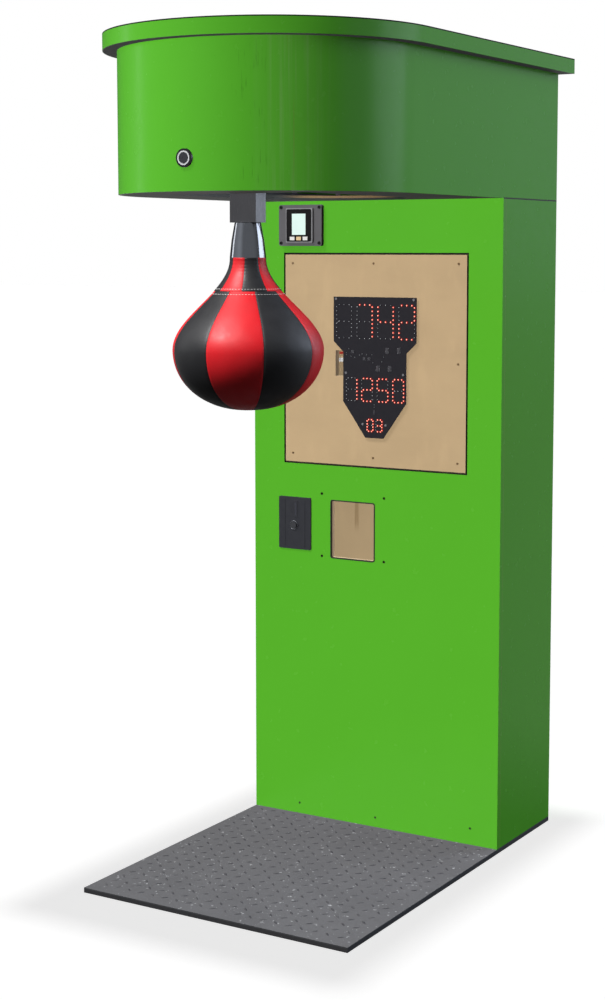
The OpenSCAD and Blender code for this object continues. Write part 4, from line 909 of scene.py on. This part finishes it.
LEATHERS = [red_leather, black_leather, seam_thread]
BALL_SEWING = (0, 0.0012, 0.0015)
SKIRT_SEWING = (SKIRT_TURN, 0.0005, 0.0008)
bm = gored_shell(ball_rows(), *BALL_SEWING, 24, 0)
cover = new_object("bag_cover", bm, LEATHERS, "bag_arm")
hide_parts("bag_ball")
bm = gored_shell(skirt_rows(), *SKIRT_SEWING, 18, 0)
skirt = new_object("bag_skirt_cover", bm, LEATHERS, "bag_arm")
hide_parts("bag_skirt")


def stitch_ring(bm, z, radius_at, sewing):
    """A row of short raised threads round the bag at one height."""
    radius = radius_at(z)
    slope = (radius_at(z + 0.001) - radius_at(z - 0.001)) / 0.002
    count = round(2 * math.pi * radius / STITCH_PITCH)
    turn, seam, puff = sewing
    for k in range(count):
        middle = 2 * math.pi * k / count
        rings = []
        for along, size in ((-0.0024, 0.2), (-0.0019, 1.0), (0.0019, 1.0), (0.0024, 0.2)):
            a = middle + along / radius
            r = radius + sewn(a, radius, 0, turn, seam, puff)
            out = Vector((math.sin(a), -math.cos(a), 0))
            up = Vector((out.x * slope, out.y * slope, 1)).normalized()
            lift = Vector((out.x, out.y, -slope)).normalized()
            base = Vector((0, BAG_Y, z)) + out * r
            rings.append([bm.verts.new(base + up * (0.00065 * size * u)
                                       + lift * (0.00055 * size * v))
                          for u, v in ((-1, -0.3), (-0.6, 0.75), (0, 1), (0.6, 0.75), (1, -0.3))])
        for low, high in zip(rings, rings[1:]):
            for i in range(4):
                bm.faces.new((low[i], low[i + 1], high[i + 1], high[i]))


bm = bmesh.new()
stitch_ring(bm, SKIRT_HEM + 0.0052, shoulder, SKIRT_SEWING)
stitch_ring(bm, SKIRT_HEM - 0.0070, ball_radius, BALL_SEWING)
new_object("bag_stitches", bm, [thread_white], "bag_arm")

# ---------------------------------------------------------------- tread lugs

LUG_PITCH = (0.0363, 0.0364)
LUG_START = (0.0137, -0.572)


def lug(bm, x, y, z, angle, length=0.021, width=0.0062, rise=0.0011):
    """One lens-shaped rib of the tread sheet."""
    turn = Matrix.Rotation(angle, 3, "Z")
    rings = []
    for size, up in ((1.0, -0.0002), (0.82, 0.62 * rise), (0.5, 0.94 * rise), (0.12, rise)):
        ring = []
        for i in range(12):
            a = 2 * math.pi * i / 12
            u = math.cos(a)
            v = math.sin(a) * (1 - 0.35 * u * u)
            point = turn @ Vector((u * length / 2 * size, v * width / 2 * size, 0))
            ring.append(bm.verts.new((x + point.x, y + point.y, z + up)))
        rings.append(ring)
    for low, high in zip(rings, rings[1:]):
        for i in range(12):
            j = (i + 1) % 12
            bm.faces.new((low[i], low[j], high[j], high[i]))
    bm.faces.new(rings[-1])


bm = bmesh.new()
for i in range(-11, 11):
    for j in range(-6, 16):
        x, y = LUG_START[0] + i * LUG_PITCH[0], LUG_START[1] + j * LUG_PITCH[1]
        if abs(x) < 0.374 and -0.79 < y < -0.012:
            lug(bm, x, y, 0.013, math.radians(-45 if (i + j) % 2 else 45))
new_object("tread_lugs", bm, [shaded_lug_rubber], "cabinet")

# ---------------------------------------------------------------- the display's dots and parts


def dot_places(node, join=0.0007):
    """The middle of each round dot of a CAD node, seen from the front."""
    flat = {(round(v.co.x, 5), round(v.co.z, 5)) for v in nodes[node].data.vertices}
    points = sorted(flat)
    tree = KDTree(len(points))
    for i, (x, z) in enumerate(points):
        tree.insert((x, 0, z), i)
    tree.balance()
    left, places = set(range(len(points))), []
    while left:
        queue = [min(left)]
        left.discard(queue[0])
        members = []
        while queue:
            i = queue.pop()
            members.append(points[i])
            for _, k, _ in tree.find_range((points[i][0], 0, points[i][1]), join):
                if k in left:
                    left.discard(k)
                    queue.append(k)
        middle = [(min(p[a] for p in members) + max(p[a] for p in members)) / 2 for a in (0, 1)]
        places.append(middle)
    return places


BOARD_FRONT = -0.008
FORWARD = (0, -1, 0)

bm = bmesh.new()
for x, z in dot_places("lit_dots"):
    place = (x, BOARD_FRONT, z)
    turned(bm, [(0.0024, -0.0002), (0.0024, 0.0014), (0.0022, 0.0020)], place, FORWARD, 20, 2)
    turned(bm, [(0.0022, 0.0020), (0.0019, 0.0026), (0.0015, 0.0029)], place, FORWARD, 20, 1)
    turned(bm, [(0.0015, 0.0029), (0.0007, 0.00298), (0, 0.003)], place, FORWARD, 20, 0)
    # painted light: a thin red ring on the board round each lit dot, the LED's glow painted on
    rise = 0.00004 + 0.0000004 * len(bm.verts) / 100
    turned(bm, [(0.0038, rise), (0.0024, rise + 0.00003)], place, FORWARD, 20, 3)
lit = new_object("lit_dot_lenses", bm, [lens_core, lens_body, lens_rim, painted_led_glow], "cabinet")
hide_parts("lit_dots")
bm = bmesh.new()
for x, z in dot_places("unlit_dots"):
    place = (x, BOARD_FRONT, z)
    turned(bm, [(0.00144, -0.0002), (0.00144, 0.0019), (0.0010, 0.0026)], place, FORWARD, 14, 1)
    turned(bm, [(0.0010, 0.0026), (0.0006, 0.0029), (0, 0.003)], place, FORWARD, 14, 0)
unlit = new_object("unlit_dot_lenses", bm, [lens_clear, lens_edge], "cabinet")
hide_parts("unlit_dots")

chip_black = plastic("chip_black", srgb(62, 61, 66), roughness=0.5)
tinned = metal("tinned", srgb(176, 178, 182), 0.35)


def chip(bm, x, z, width, height, rise, legs):
    """A flat chip on the display board with rows of tinned legs at its two long sides."""
    y = BOARD_FRONT
    slab(bm, (x - width / 2, y - rise, z - height / 2), (x + width / 2, y + 0.0001, z + height / 2),
         0.0003)
    for k in range(legs):
        level = z + (k - (legs - 1) / 2) * height / legs
        for s in (-1, 1):
            near, far = sorted((x + s * width / 2, x + s * (width / 2 + 0.0014)))
            slab(bm, (near, y - rise * 0.45, level - 0.0003), (far, y + 0.0001, level + 0.0003),
                 0.0001, 1)


bm = bmesh.new()
for x, z in ((46.7, 1344.3), (82.9, 1345.3), (18.4, 1295.1), (54.9, 1296.4)):
    chip(bm, x / 1000, z / 1000, 0.0075, 0.0155, 0.0016, 8)
for x, z in ((-59.8, 1338.9), (-9.3, 1320.8), (-24.6, 1321.1)):
    chip(bm, x / 1000, z / 1000, 0.006, 0.008, 0.0014, 4)
for x, z in ((-72.6, 1347.2), (-79.8, 1336.7), (-79.8, 1331.2), (-65.3, 1326.1), (-39.0, 1330.1),
             (-30.9, 1334.2), (-16.6, 1332.3), (-0.4, 1332.8), (36.1, 1327.6), (3.2, 1311.0),
             (30.8, 1314.2), (-80.6, 1280.0), (-53.5, 1324.1), (7.6, 1196.5), (7.6, 1190.0)):
    x, z = x / 1000, z / 1000
    slab(bm, (x - 0.0009, BOARD_FRONT - 0.0008, z - 0.0014), (x + 0.0009, -0.0079, z + 0.0014),
         0.0002, 1)
slab(bm, (0.0055, BOARD_FRONT - 0.0012, 1.170), (0.0097, -0.0079, 1.182), 0.0003)
new_object("board_parts", bm, [chip_black, tinned], "cabinet", smooth=30)

# ---------------------------------------------------------------- coin unit

bm = bmesh.new()
COIN_BUTTON = (-0.252, 0, 0.845)
ring_path = [(COIN_BUTTON[0] + 0.0121 * math.cos(a), -0.0062, COIN_BUTTON[2] + 0.0121 * math.sin(a))
             for a in (2 * math.pi * k / 48 for k in range(49))]
tube(bm, ring_path, 0.0007, 8)
new_object("return_button_rim", bm, [metal("rim_metal", srgb(150, 152, 158), 0.3)], "cabinet",
           smooth=50)

# ---------------------------------------------------------------- screws, vent and plate at the back

# painted shade: a near black laid as flat sheets into screw recesses and slots
hollow_shade = plastic("painted_recess_shade", srgb(18, 18, 20), roughness=0.6)
bm = bmesh.new()
BACKWARD = (0, 1, 0)
for s in (-1, 1):
    for z in (0.05, 0.45, 0.85, 1.25, 1.70, 1.79, 1.92, 2.05):
        pan_screw(bm, (s * 0.352, 0.34, z), BACKWARD, 0.0042, 0.0012)
    for x in (0.09, 0.25):
        for z in (1.40, 1.79, 2.06):
            pan_screw(bm, (s * x, 0.34, z), BACKWARD, 0.0042, 0.0012)
    pan_screw(bm, (s * 0.030, 0.3425, 0.088), BACKWARD, 0.0028, 0.0010)
new_object("back_screws", bm, [zinc, hollow_shade], "cabinet", smooth=40)

vent_paint = plastic("vent_black", srgb(34, 35, 37), roughness=0.45)
VENT = (0.0, 1.93)
bm = bmesh.new()
x0, x1, z0, z1 = VENT[0] - 0.12, VENT[0] + 0.12, VENT[1] - 0.05, VENT[1] + 0.05
for low, high in (((x0, z0), (x1, z0 + 0.014)), ((x0, z1 - 0.014), (x1, z1)),
                  ((x0, z0 + 0.014), (x0 + 0.016, z1 - 0.014)),
                  ((x1 - 0.016, z0 + 0.014), (x1, z1 - 0.014))):
    slab(bm, (low[0], 0.34, low[1]), (high[0], 0.343, high[1]), 0.0006)
for k in range(6):
    z = z0 + 0.017 + k * 0.0115
    ring = [(0.3402, z + 0.009), (0.3425, z + 0.0035), (0.3440, z), (0.3432, z - 0.0002),
            (0.3417, z + 0.0028), (0.3400, z + 0.0082)]
    ends = [[bm.verts.new((x, y, height)) for y, height in ring] for x in (x0 + 0.016, x1 - 0.016)]
    for i in range(6):
        j = (i + 1) % 6
        bm.faces.new((ends[0][i], ends[0][j], ends[1][j], ends[1][i]))
for sx in (-1, 1):
    for sz in (-1, 1):
        pan_screw(bm, (VENT[0] + sx * 0.112, 0.343, VENT[1] + sz * 0.043), BACKWARD, 0.003, 0.001)
new_object("hood_vent", bm, [vent_paint, hollow_shade], "cabinet", smooth=30)

bm = bmesh.new()
slab(bm, (0.235, 0.34, 1.49), (0.335, 0.3408, 1.55), 0.0003)
for sx in (-1, 1):
    for sz in (-1, 1):
        turned(bm, [(0.0022, 0), (0.0018, 0.0008), (0, 0.0011)],
               (0.285 + sx * 0.044, 0.3408, 1.52 + sz * 0.024), BACKWARD, 12)
new_object("blank_plate", bm, [metal("plate_metal", srgb(196, 198, 200), 0.4,
                                     brushed=(0.03, 1, 1))], "cabinet", smooth=30)

# ---------------------------------------------------------------- fittings of the mechanism

bolt_steel = metal("bolt_steel", srgb(150, 151, 150), 0.36)
brass = metal("brass", srgb(196, 160, 84), 0.3)
UP = (0, 0, 1)
bm = bmesh.new()
for s in (-1, 1):
    for t in (-1, 1):
        hex_bolt(bm, (s * 0.265, BAG_Y + t * 0.0475, 1.786), UP, 0.0092, 0.0075, 0.0105, 0.004)
    hex_bolt(bm, (s * 0.265, -0.525, 1.844), UP, 0.0075, 0.0055, 0.0095)
    for y in (-0.40, -0.20, 0.02, 0.26):
        hex_bolt(bm, (s * 0.265, y, 1.772), UP, 0.0075, 0.0055, 0.0095)
    for y in (-0.781, -0.700):
        hex_bolt(bm, (s * 0.030, y, 1.768), UP, 0.0052, 0.004, 0.0068)
new_object("frame_bolts", bm, [bolt_steel], "cabinet", smooth=30,
           group=mechanism_pieces)

bm = bmesh.new()
for s in (-1, 1):
    turned(bm, [(0.003, -0.001), (0.003, 0.003), (0.0018, 0.0036), (0.0022, 0.006),
                (0.0015, 0.0075), (0, 0.0078)], (s * 0.265, BAG_Y, 1.8365), UP, 12)
new_object("grease_nipples", bm, [brass], "cabinet", smooth=40,
           group=mechanism_pieces)

bm = bmesh.new()
for s in (-1, 1):
    for turn in (0, 120, 240):
        a = math.radians(turn + 40)
        place = (s * 0.2851, BAG_Y + 0.0125 * math.sin(a), 1.805 + 0.0125 * math.cos(a))
        turned(bm, [(0.0016, -0.0006), (0.0016, 0.0006), (0, 0.0008)], place, (s, 0, 0), 10)
for turn in (20, 200):
    a = math.radians(turn)
    out = (0, math.sin(a), math.cos(a))
    place = (0.1015, BAG_Y + 0.018 * out[1], 1.805 + 0.018 * out[2])
    turned(bm, [(0.0028, -0.001), (0.0028, 0.0016), (0.0012, 0.0018), (0, 0.0008)], place, out, 12)
new_object("shaft_set_screws", bm, [bolt_steel], "bag_arm", smooth=40,
           group=mechanism_pieces)

# the coil's wound tape and its two terminals
winding = plastic("coil_tape", srgb(176, 130, 40), roughness=0.5)
bm = bmesh.new()
for s in (-1, 1):
    slab(bm, (s * 0.0181 - 0.0005, -0.783, 1.868), (s * 0.0181 + 0.0005, -0.721, 1.892), 0.0004)
    slab(bm, (s * 0.007 - 0.002, -0.7955, 1.889), (s * 0.007 + 0.002, -0.7925, 1.8945), 0.0002, 1)
    for y in (-0.786, -0.718):
        pan_screw(bm, (s * 0.0135, y, 1.896), UP, 0.002, 0.0009, 1, 2)
slab(bm, (-0.013, -0.783, 1.8958), (0.013, -0.721, 1.8965), 0.0003)
new_object("coil_tape", bm, [winding, tinned, hollow_shade], "cabinet", smooth=30,
           group=mechanism_pieces)

# the hook's torsion spring round its pin
bm = bmesh.new()
HOOK_PIN = (-0.69301, 1.84996)
spring = [(0.0087, HOOK_PIN[0] + 0.0052, HOOK_PIN[1] + 0.0150)]
for k in range(97):
    a = 2 * math.pi * k / 16
    spring.append((0.0088 + 0.0078 * k / 96, HOOK_PIN[0] + 0.0052 * math.cos(a),
                   HOOK_PIN[1] + 0.0052 * math.sin(a)))
spring.append((0.0168, HOOK_PIN[0] + 0.0052, HOOK_PIN[1] - 0.0080))
tube(bm, spring, 0.0006, 6)
new_object("hook_spring", bm, [bolt_steel], "catch_hook", smooth=60,
           group=mechanism_pieces)

# ---------------------------------------------------------------- fittings inside the cabinet

white_plastic = plastic("white_plastic", srgb(214, 214, 206), roughness=0.4)
relay_blue = plastic("relay_blue", srgb(44, 82, 150), roughness=0.35)
gold = metal("contact_gold", srgb(214, 176, 96), 0.3)
label = plastic("blank_label", srgb(220, 218, 208), roughness=0.6)
red_lamp = plastic("lamp_red", srgb(210, 40, 30), roughness=0.3, glow=0.3)

bm = bmesh.new()
SUPPLY_FACE = 0.307
slab(bm, (SUPPLY_FACE - 0.012, 0.182, 0.524), (SUPPLY_FACE, 0.268, 0.546), 0.0008, 0)
for k in range(7):
    y = 0.189 + k * 0.012
    pan_screw(bm, (SUPPLY_FACE - 0.012, y, 0.535), (-1, 0, 0), 0.0036, 0.0012, 1, 2)
    slab(bm, (SUPPLY_FACE - 0.0135, y - 0.0065, 0.526), (SUPPLY_FACE - 0.0118, y - 0.0055, 0.544),
         0.0002, 0)
slab(bm, (SUPPLY_FACE - 0.0004, 0.19, 0.704), (SUPPLY_FACE + 0.0001, 0.26, 0.736), 0.0001, 3)
turned(bm, [(0.0025, 0), (0.0022, 0.0016), (0, 0.0024)], (SUPPLY_FACE, 0.186, 0.553),
       (-1, 0, 0), 12, 4)
for y in (0.178, 0.272):
    for z in (0.5125, 0.7535):
        pan_screw(bm, (0.364, y, z), (-1, 0, 0), 0.0036, 0.0014, 1, 2)
new_object("supply_fittings", bm, [black_plastic, bolt_steel, hollow_shade, label, red_lamp],
           "cabinet", smooth=30, group=cabinet_pieces)

bm = bmesh.new()
BOARD_FACE = -0.3574
OUT = (1, 0, 0)


def board_block(y, z, width, height, rise, material, foot=BOARD_FACE):
    slab(bm, (foot, y - width / 2, z - height / 2), (foot + rise, y + width / 2, z + height / 2),
         0.0005, material)


for k in range(4):
    for t in (-1, 1):
        board_block(0.136 + k * 0.032 + t * 0.0055, 0.837, 0.0045, 0.010, 0.0017, 1, -0.347)
board_block(0.188, 0.751, 0.026, 0.026, 0.0006, 5, -0.353)
for k in range(9):
    for s in (-1, 1):
        board_block(0.188 + (k - 4) * 0.0038, 0.751 + s * 0.0195, 0.0012, 0.003, 0.002, 2)
        board_block(0.188 + s * 0.0195, 0.751 + (k - 4) * 0.0038, 0.003, 0.0012, 0.002, 2)
for y, z in ((0.235, 0.78), (0.235, 0.756), (0.14, 0.775), (0.25, 0.72), (0.14, 0.745)):
    board_block(y, z, 0.010, 0.018, 0.0028, 3)
    for k in range(4):
        for s in (-1, 1):
            board_block(y + s * 0.006, z + (k - 1.5) * 0.0042, 0.002, 0.0012, 0.0016, 2)
for y, z, r, h in ((0.235, 0.67, 0.0085, 0.022), (0.256, 0.67, 0.0085, 0.022),
                   (0.235, 0.695, 0.006, 0.015), (0.252, 0.694, 0.005, 0.012)):
    turned(bm, [(r, 0), (r, h - 0.001), (r - 0.001, h), (0, h)], (BOARD_FACE, y, z), OUT, 20, 4)
    turned(bm, [(r - 0.0012, h + 0.0002), (0, h + 0.0002)], (BOARD_FACE, y, z), OUT, 20, 2)
for y in (0.125, 0.150, 0.175, 0.200):
    board_block(y, 0.712, 0.019, 0.014, 0.0155, 0)
for k in range(8):
    board_block(0.125 + k * 0.0115, 0.6455, 0.010, 0.012, 0.011, 6)
    turned(bm, [(0.0028, 0), (0.0024, 0.0006), (0, 0.0006)],
           (BOARD_FACE + 0.011, 0.125 + k * 0.0115, 0.6465), OUT, 12, 1)
for k in range(6):
    board_block(0.214 + k * 0.006, 0.812, 0.0016, 0.0034, 0.0011, (3, 2)[k % 2])
    board_block(0.13 + k * 0.007, 0.795, 0.0016, 0.0034, 0.0011, (2, 3)[k % 2])
for y, z in ((0.118, 0.8445), (0.262, 0.8445), (0.118, 0.6415), (0.262, 0.6415)):
    turned(bm, [(0.0042, 0), (0.0040, 0.0016), (0.0022, 0.0026), (0, 0.0026)],
           (BOARD_FACE, y, z), OUT, 16, 1)
turned(bm, [(0.0018, 0), (0.0018, 0.003), (0, 0.0045)], (BOARD_FACE, 0.2, 0.79), OUT, 12, 7)
new_object("control_parts", bm, [relay_blue, bolt_steel, gold, chip_black, black_plastic, label,
                                 white_plastic, red_lamp], "cabinet",
           smooth=30, group=cabinet_pieces)

bm = bmesh.new()
for s in (-1, 1):
    turned(bm, [(0.0045, 0), (0.0045, 0.002), (0.003, 0.003), (0, 0.003)],
           (-0.25 + s * 0.03, 0.245, 0.150), BACKWARD, 16)
handle = [(-0.28, 0.2475, 0.150), (-0.28, 0.256, 0.148), (-0.279, 0.2585, 0.140),
          (-0.276, 0.2585, 0.122), (-0.270, 0.2585, 0.116), (-0.250, 0.2585, 0.115),
          (-0.230, 0.2585, 0.116), (-0.224, 0.2585, 0.122), (-0.221, 0.2585, 0.140),
          (-0.22, 0.256, 0.148), (-0.22, 0.2475, 0.150)]
tube(bm, handle, 0.0022, 10)
turned(bm, [(0.008, 0), (0.008, 0.0022), (0.0068, 0.003), (0, 0.003)], (-0.25, 0.245, 0.215),
       BACKWARD, 24)
# painted shade: the lock's key slot is a thin dark sheet
slab(bm, (-0.2508, 0.2478, 0.211), (-0.2492, 0.2482, 0.219), 0.0001, 1)
slab(bm, (-0.29, 0.245, 0.055), (-0.21, 0.2454, 0.095), 0.0001, 2)
new_object("box_fittings", bm, [bolt_steel, hollow_shade, label], "cabinet",
           smooth=40, group=cabinet_pieces)

bm = bmesh.new()
slab(bm, (-0.2945, 0.02, 0.80), (-0.294, 0.08, 0.905), 0.0002, 0)
slab(bm, (-0.206, 0.02, 0.80), (-0.2055, 0.08, 0.905), 0.0002, 0)
slab(bm, (-0.282, 0.085, 0.845), (-0.218, 0.0862, 0.905), 0.0003, 3)
for x, z, w, h in ((-0.27, 0.89, 0.012, 0.007), (-0.248, 0.878, 0.014, 0.014),
                   (-0.229, 0.892, 0.010, 0.010), (-0.268, 0.862, 0.016, 0.006)):
    slab(bm, (x - w / 2, 0.0862, z - h / 2), (x + w / 2, 0.0882, z + h / 2), 0.0003, 4)
slab(bm, (-0.244, 0.0862, 0.848), (-0.222, 0.094, 0.856), 0.0005, 5)
slab(bm, (-0.275, 0.085, 0.80), (-0.225, 0.0854, 0.832), 0.0001, 6)
for s in (-1, 1):
    for z in (0.81, 0.895):
        for y in (0.03, 0.07):
            pan_screw(bm, (-0.25 + s * 0.0445, y, z), (s, 0, 0), 0.0024, 0.001, 1, 2)
new_object("coin_unit_fittings", bm, [bolt_steel, bolt_steel, hollow_shade, plastic(
    "small_board", srgb(34, 84, 56), roughness=0.35), chip_black, white_plastic, label],
           "cabinet", smooth=30, group=cabinet_pieces)

# the mains filter's can and its three blades, seen from inside
bm = bmesh.new()
slab(bm, (-0.024, 0.288, 0.077), (0.024, 0.316, 0.099), 0.0012, 0)
for x in (-0.012, 0.0, 0.012):
    slab(bm, (x - 0.003, 0.279, 0.0875), (x + 0.003, 0.2885, 0.0885), 0.0002, 1)
new_object("mains_filter", bm, [zinc, gold], "cabinet", smooth=30,
           group=cabinet_pieces)

# ---------------------------------------------------------------- lamps

MECHANISM = ["bearing_rails", "bearing_housings", "bearing_units", "pivot_shaft", "striker",
             "stop_crossbar", "stop_buffers", "speed_disc", "speed_sensor", "catch_bracket",
             "catch_hook", "solenoid_body", "solenoid_plunger"]
CABINET_INSIDE = ["inner_battens", "cash_box", "control_board", "power_supply", "coin_mechanism",
                  "coin_chute", "lock_cam"]
BACK_METAL = ["door_frame_hinges", "door_leaf_hinges", "lock_barrel", "lock_cam", "cash_box",
              "power_supply", "coin_chute"]
SMALL_SHADES = ["dot_board", "board_spacers", "terminal_housing", "terminal_glass", "coin_plate",
                "coin_return_button", "front_screws", "wiring_plug", "button_bezel",
                "button_ring"]

PAINTED = ["front_panel", "side_panels", "hood_shell", "lid_edge_band"]

mechanism = [nodes[n] for n in MECHANISM] + mechanism_pieces
inside = [nodes[n] for n in CABINET_INSIDE] + cabinet_pieces
shell = [nodes[n] for n in ("hood_floor", "hood_back", "lid_board", "back_frame", "rear_door")]
back_metal = [nodes[n] for n in BACK_METAL] + cabinet_pieces
green = [nodes[n] for n in PAINTED]
shades = [nodes[n] for n in SMALL_SHADES]
for piece in green + [nodes["display_panel"]]:
    piece.visible_glossy = False
    piece.visible_diffuse = False
for name in ("tread_sheet_cover", "base_board"):
    nodes[name].visible_diffuse = False
nodes["hood_floor"].visible_glossy = False

not_key = [floor] + mechanism + [p for p in inside if p != nodes["inner_battens"]] + shell + green
make_light("key", "SUN", *KEY, 4.7, shadow=False, angle=20, leaves=not_key)
make_light("key_shaded", "SUN", *KEY, 1.1, angle=14, leaves=not_key, shaded_by=shades)
make_light("paint_key", "SUN", *PAINT_KEY, 5.05, shadow=False, angle=15, lights=green)
make_light("paint_key_shaded", "SUN", *PAINT_KEY, 1.1, angle=14, lights=green, shaded_by=shades)
make_light("fill", "SUN", *FILL, 2.42, angle=55, colour=(0.76, 0.84, 1),
           leaves=[floor, nodes["neck_collar"]] + green,
           passes=[nodes["hood_shell"], nodes["hood_floor"]])
make_light("collar_side", "SUN", 158, 0, 4.4, shadow=False, angle=90, colour=(0.8, 0.88, 1),
           lights=[nodes["neck_collar"]])
make_light("paint_fill", "SUN", *PAINT_FILL, 0.75, angle=40, colour=(0.76, 0.84, 1), lights=green)
make_light("paint_fill_wide", "SUN", *PAINT_FILL, 1.05, angle=90, colour=(0.76, 0.84, 1),
           lights=green)
make_light("under", "SUN", *UNDER, 2.6, angle=40,
           lights=[nodes["hood_floor"], nodes["lid_board"]], shadow=False)
make_light("over_floor", "SUN", 0, 90, 1.1, angle=1.3, lights=[floor])
make_light("in_hood", "SUN", 20, -40, 2.2, angle=30, lights=mechanism, shaded_by=mechanism)
make_light("in_cabinet", "SUN", 196, 20, 1.6, angle=25, lights=inside,
           shaded_by=inside + [nodes["rear_door"], nodes["back_frame"]])
make_light("behind", "SUN", 207, 12, 1.1, angle=100, lights=back_metal, shadow=False)
make_light("left_strip", "AREA", -80, 25, 24, distance=4.5, size=(0.95, 4.0),
           leaves=[floor] + green)
make_light("paint_strip", "AREA", -77, 25, 8, distance=4.5, size=(0.5, 4.0), lights=green)

# ---------------------------------------------------------------- end

low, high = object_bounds()
{"cad": [list(cad_box[0]), list(cad_box[1])], "visual": [list(low), list(high)]}
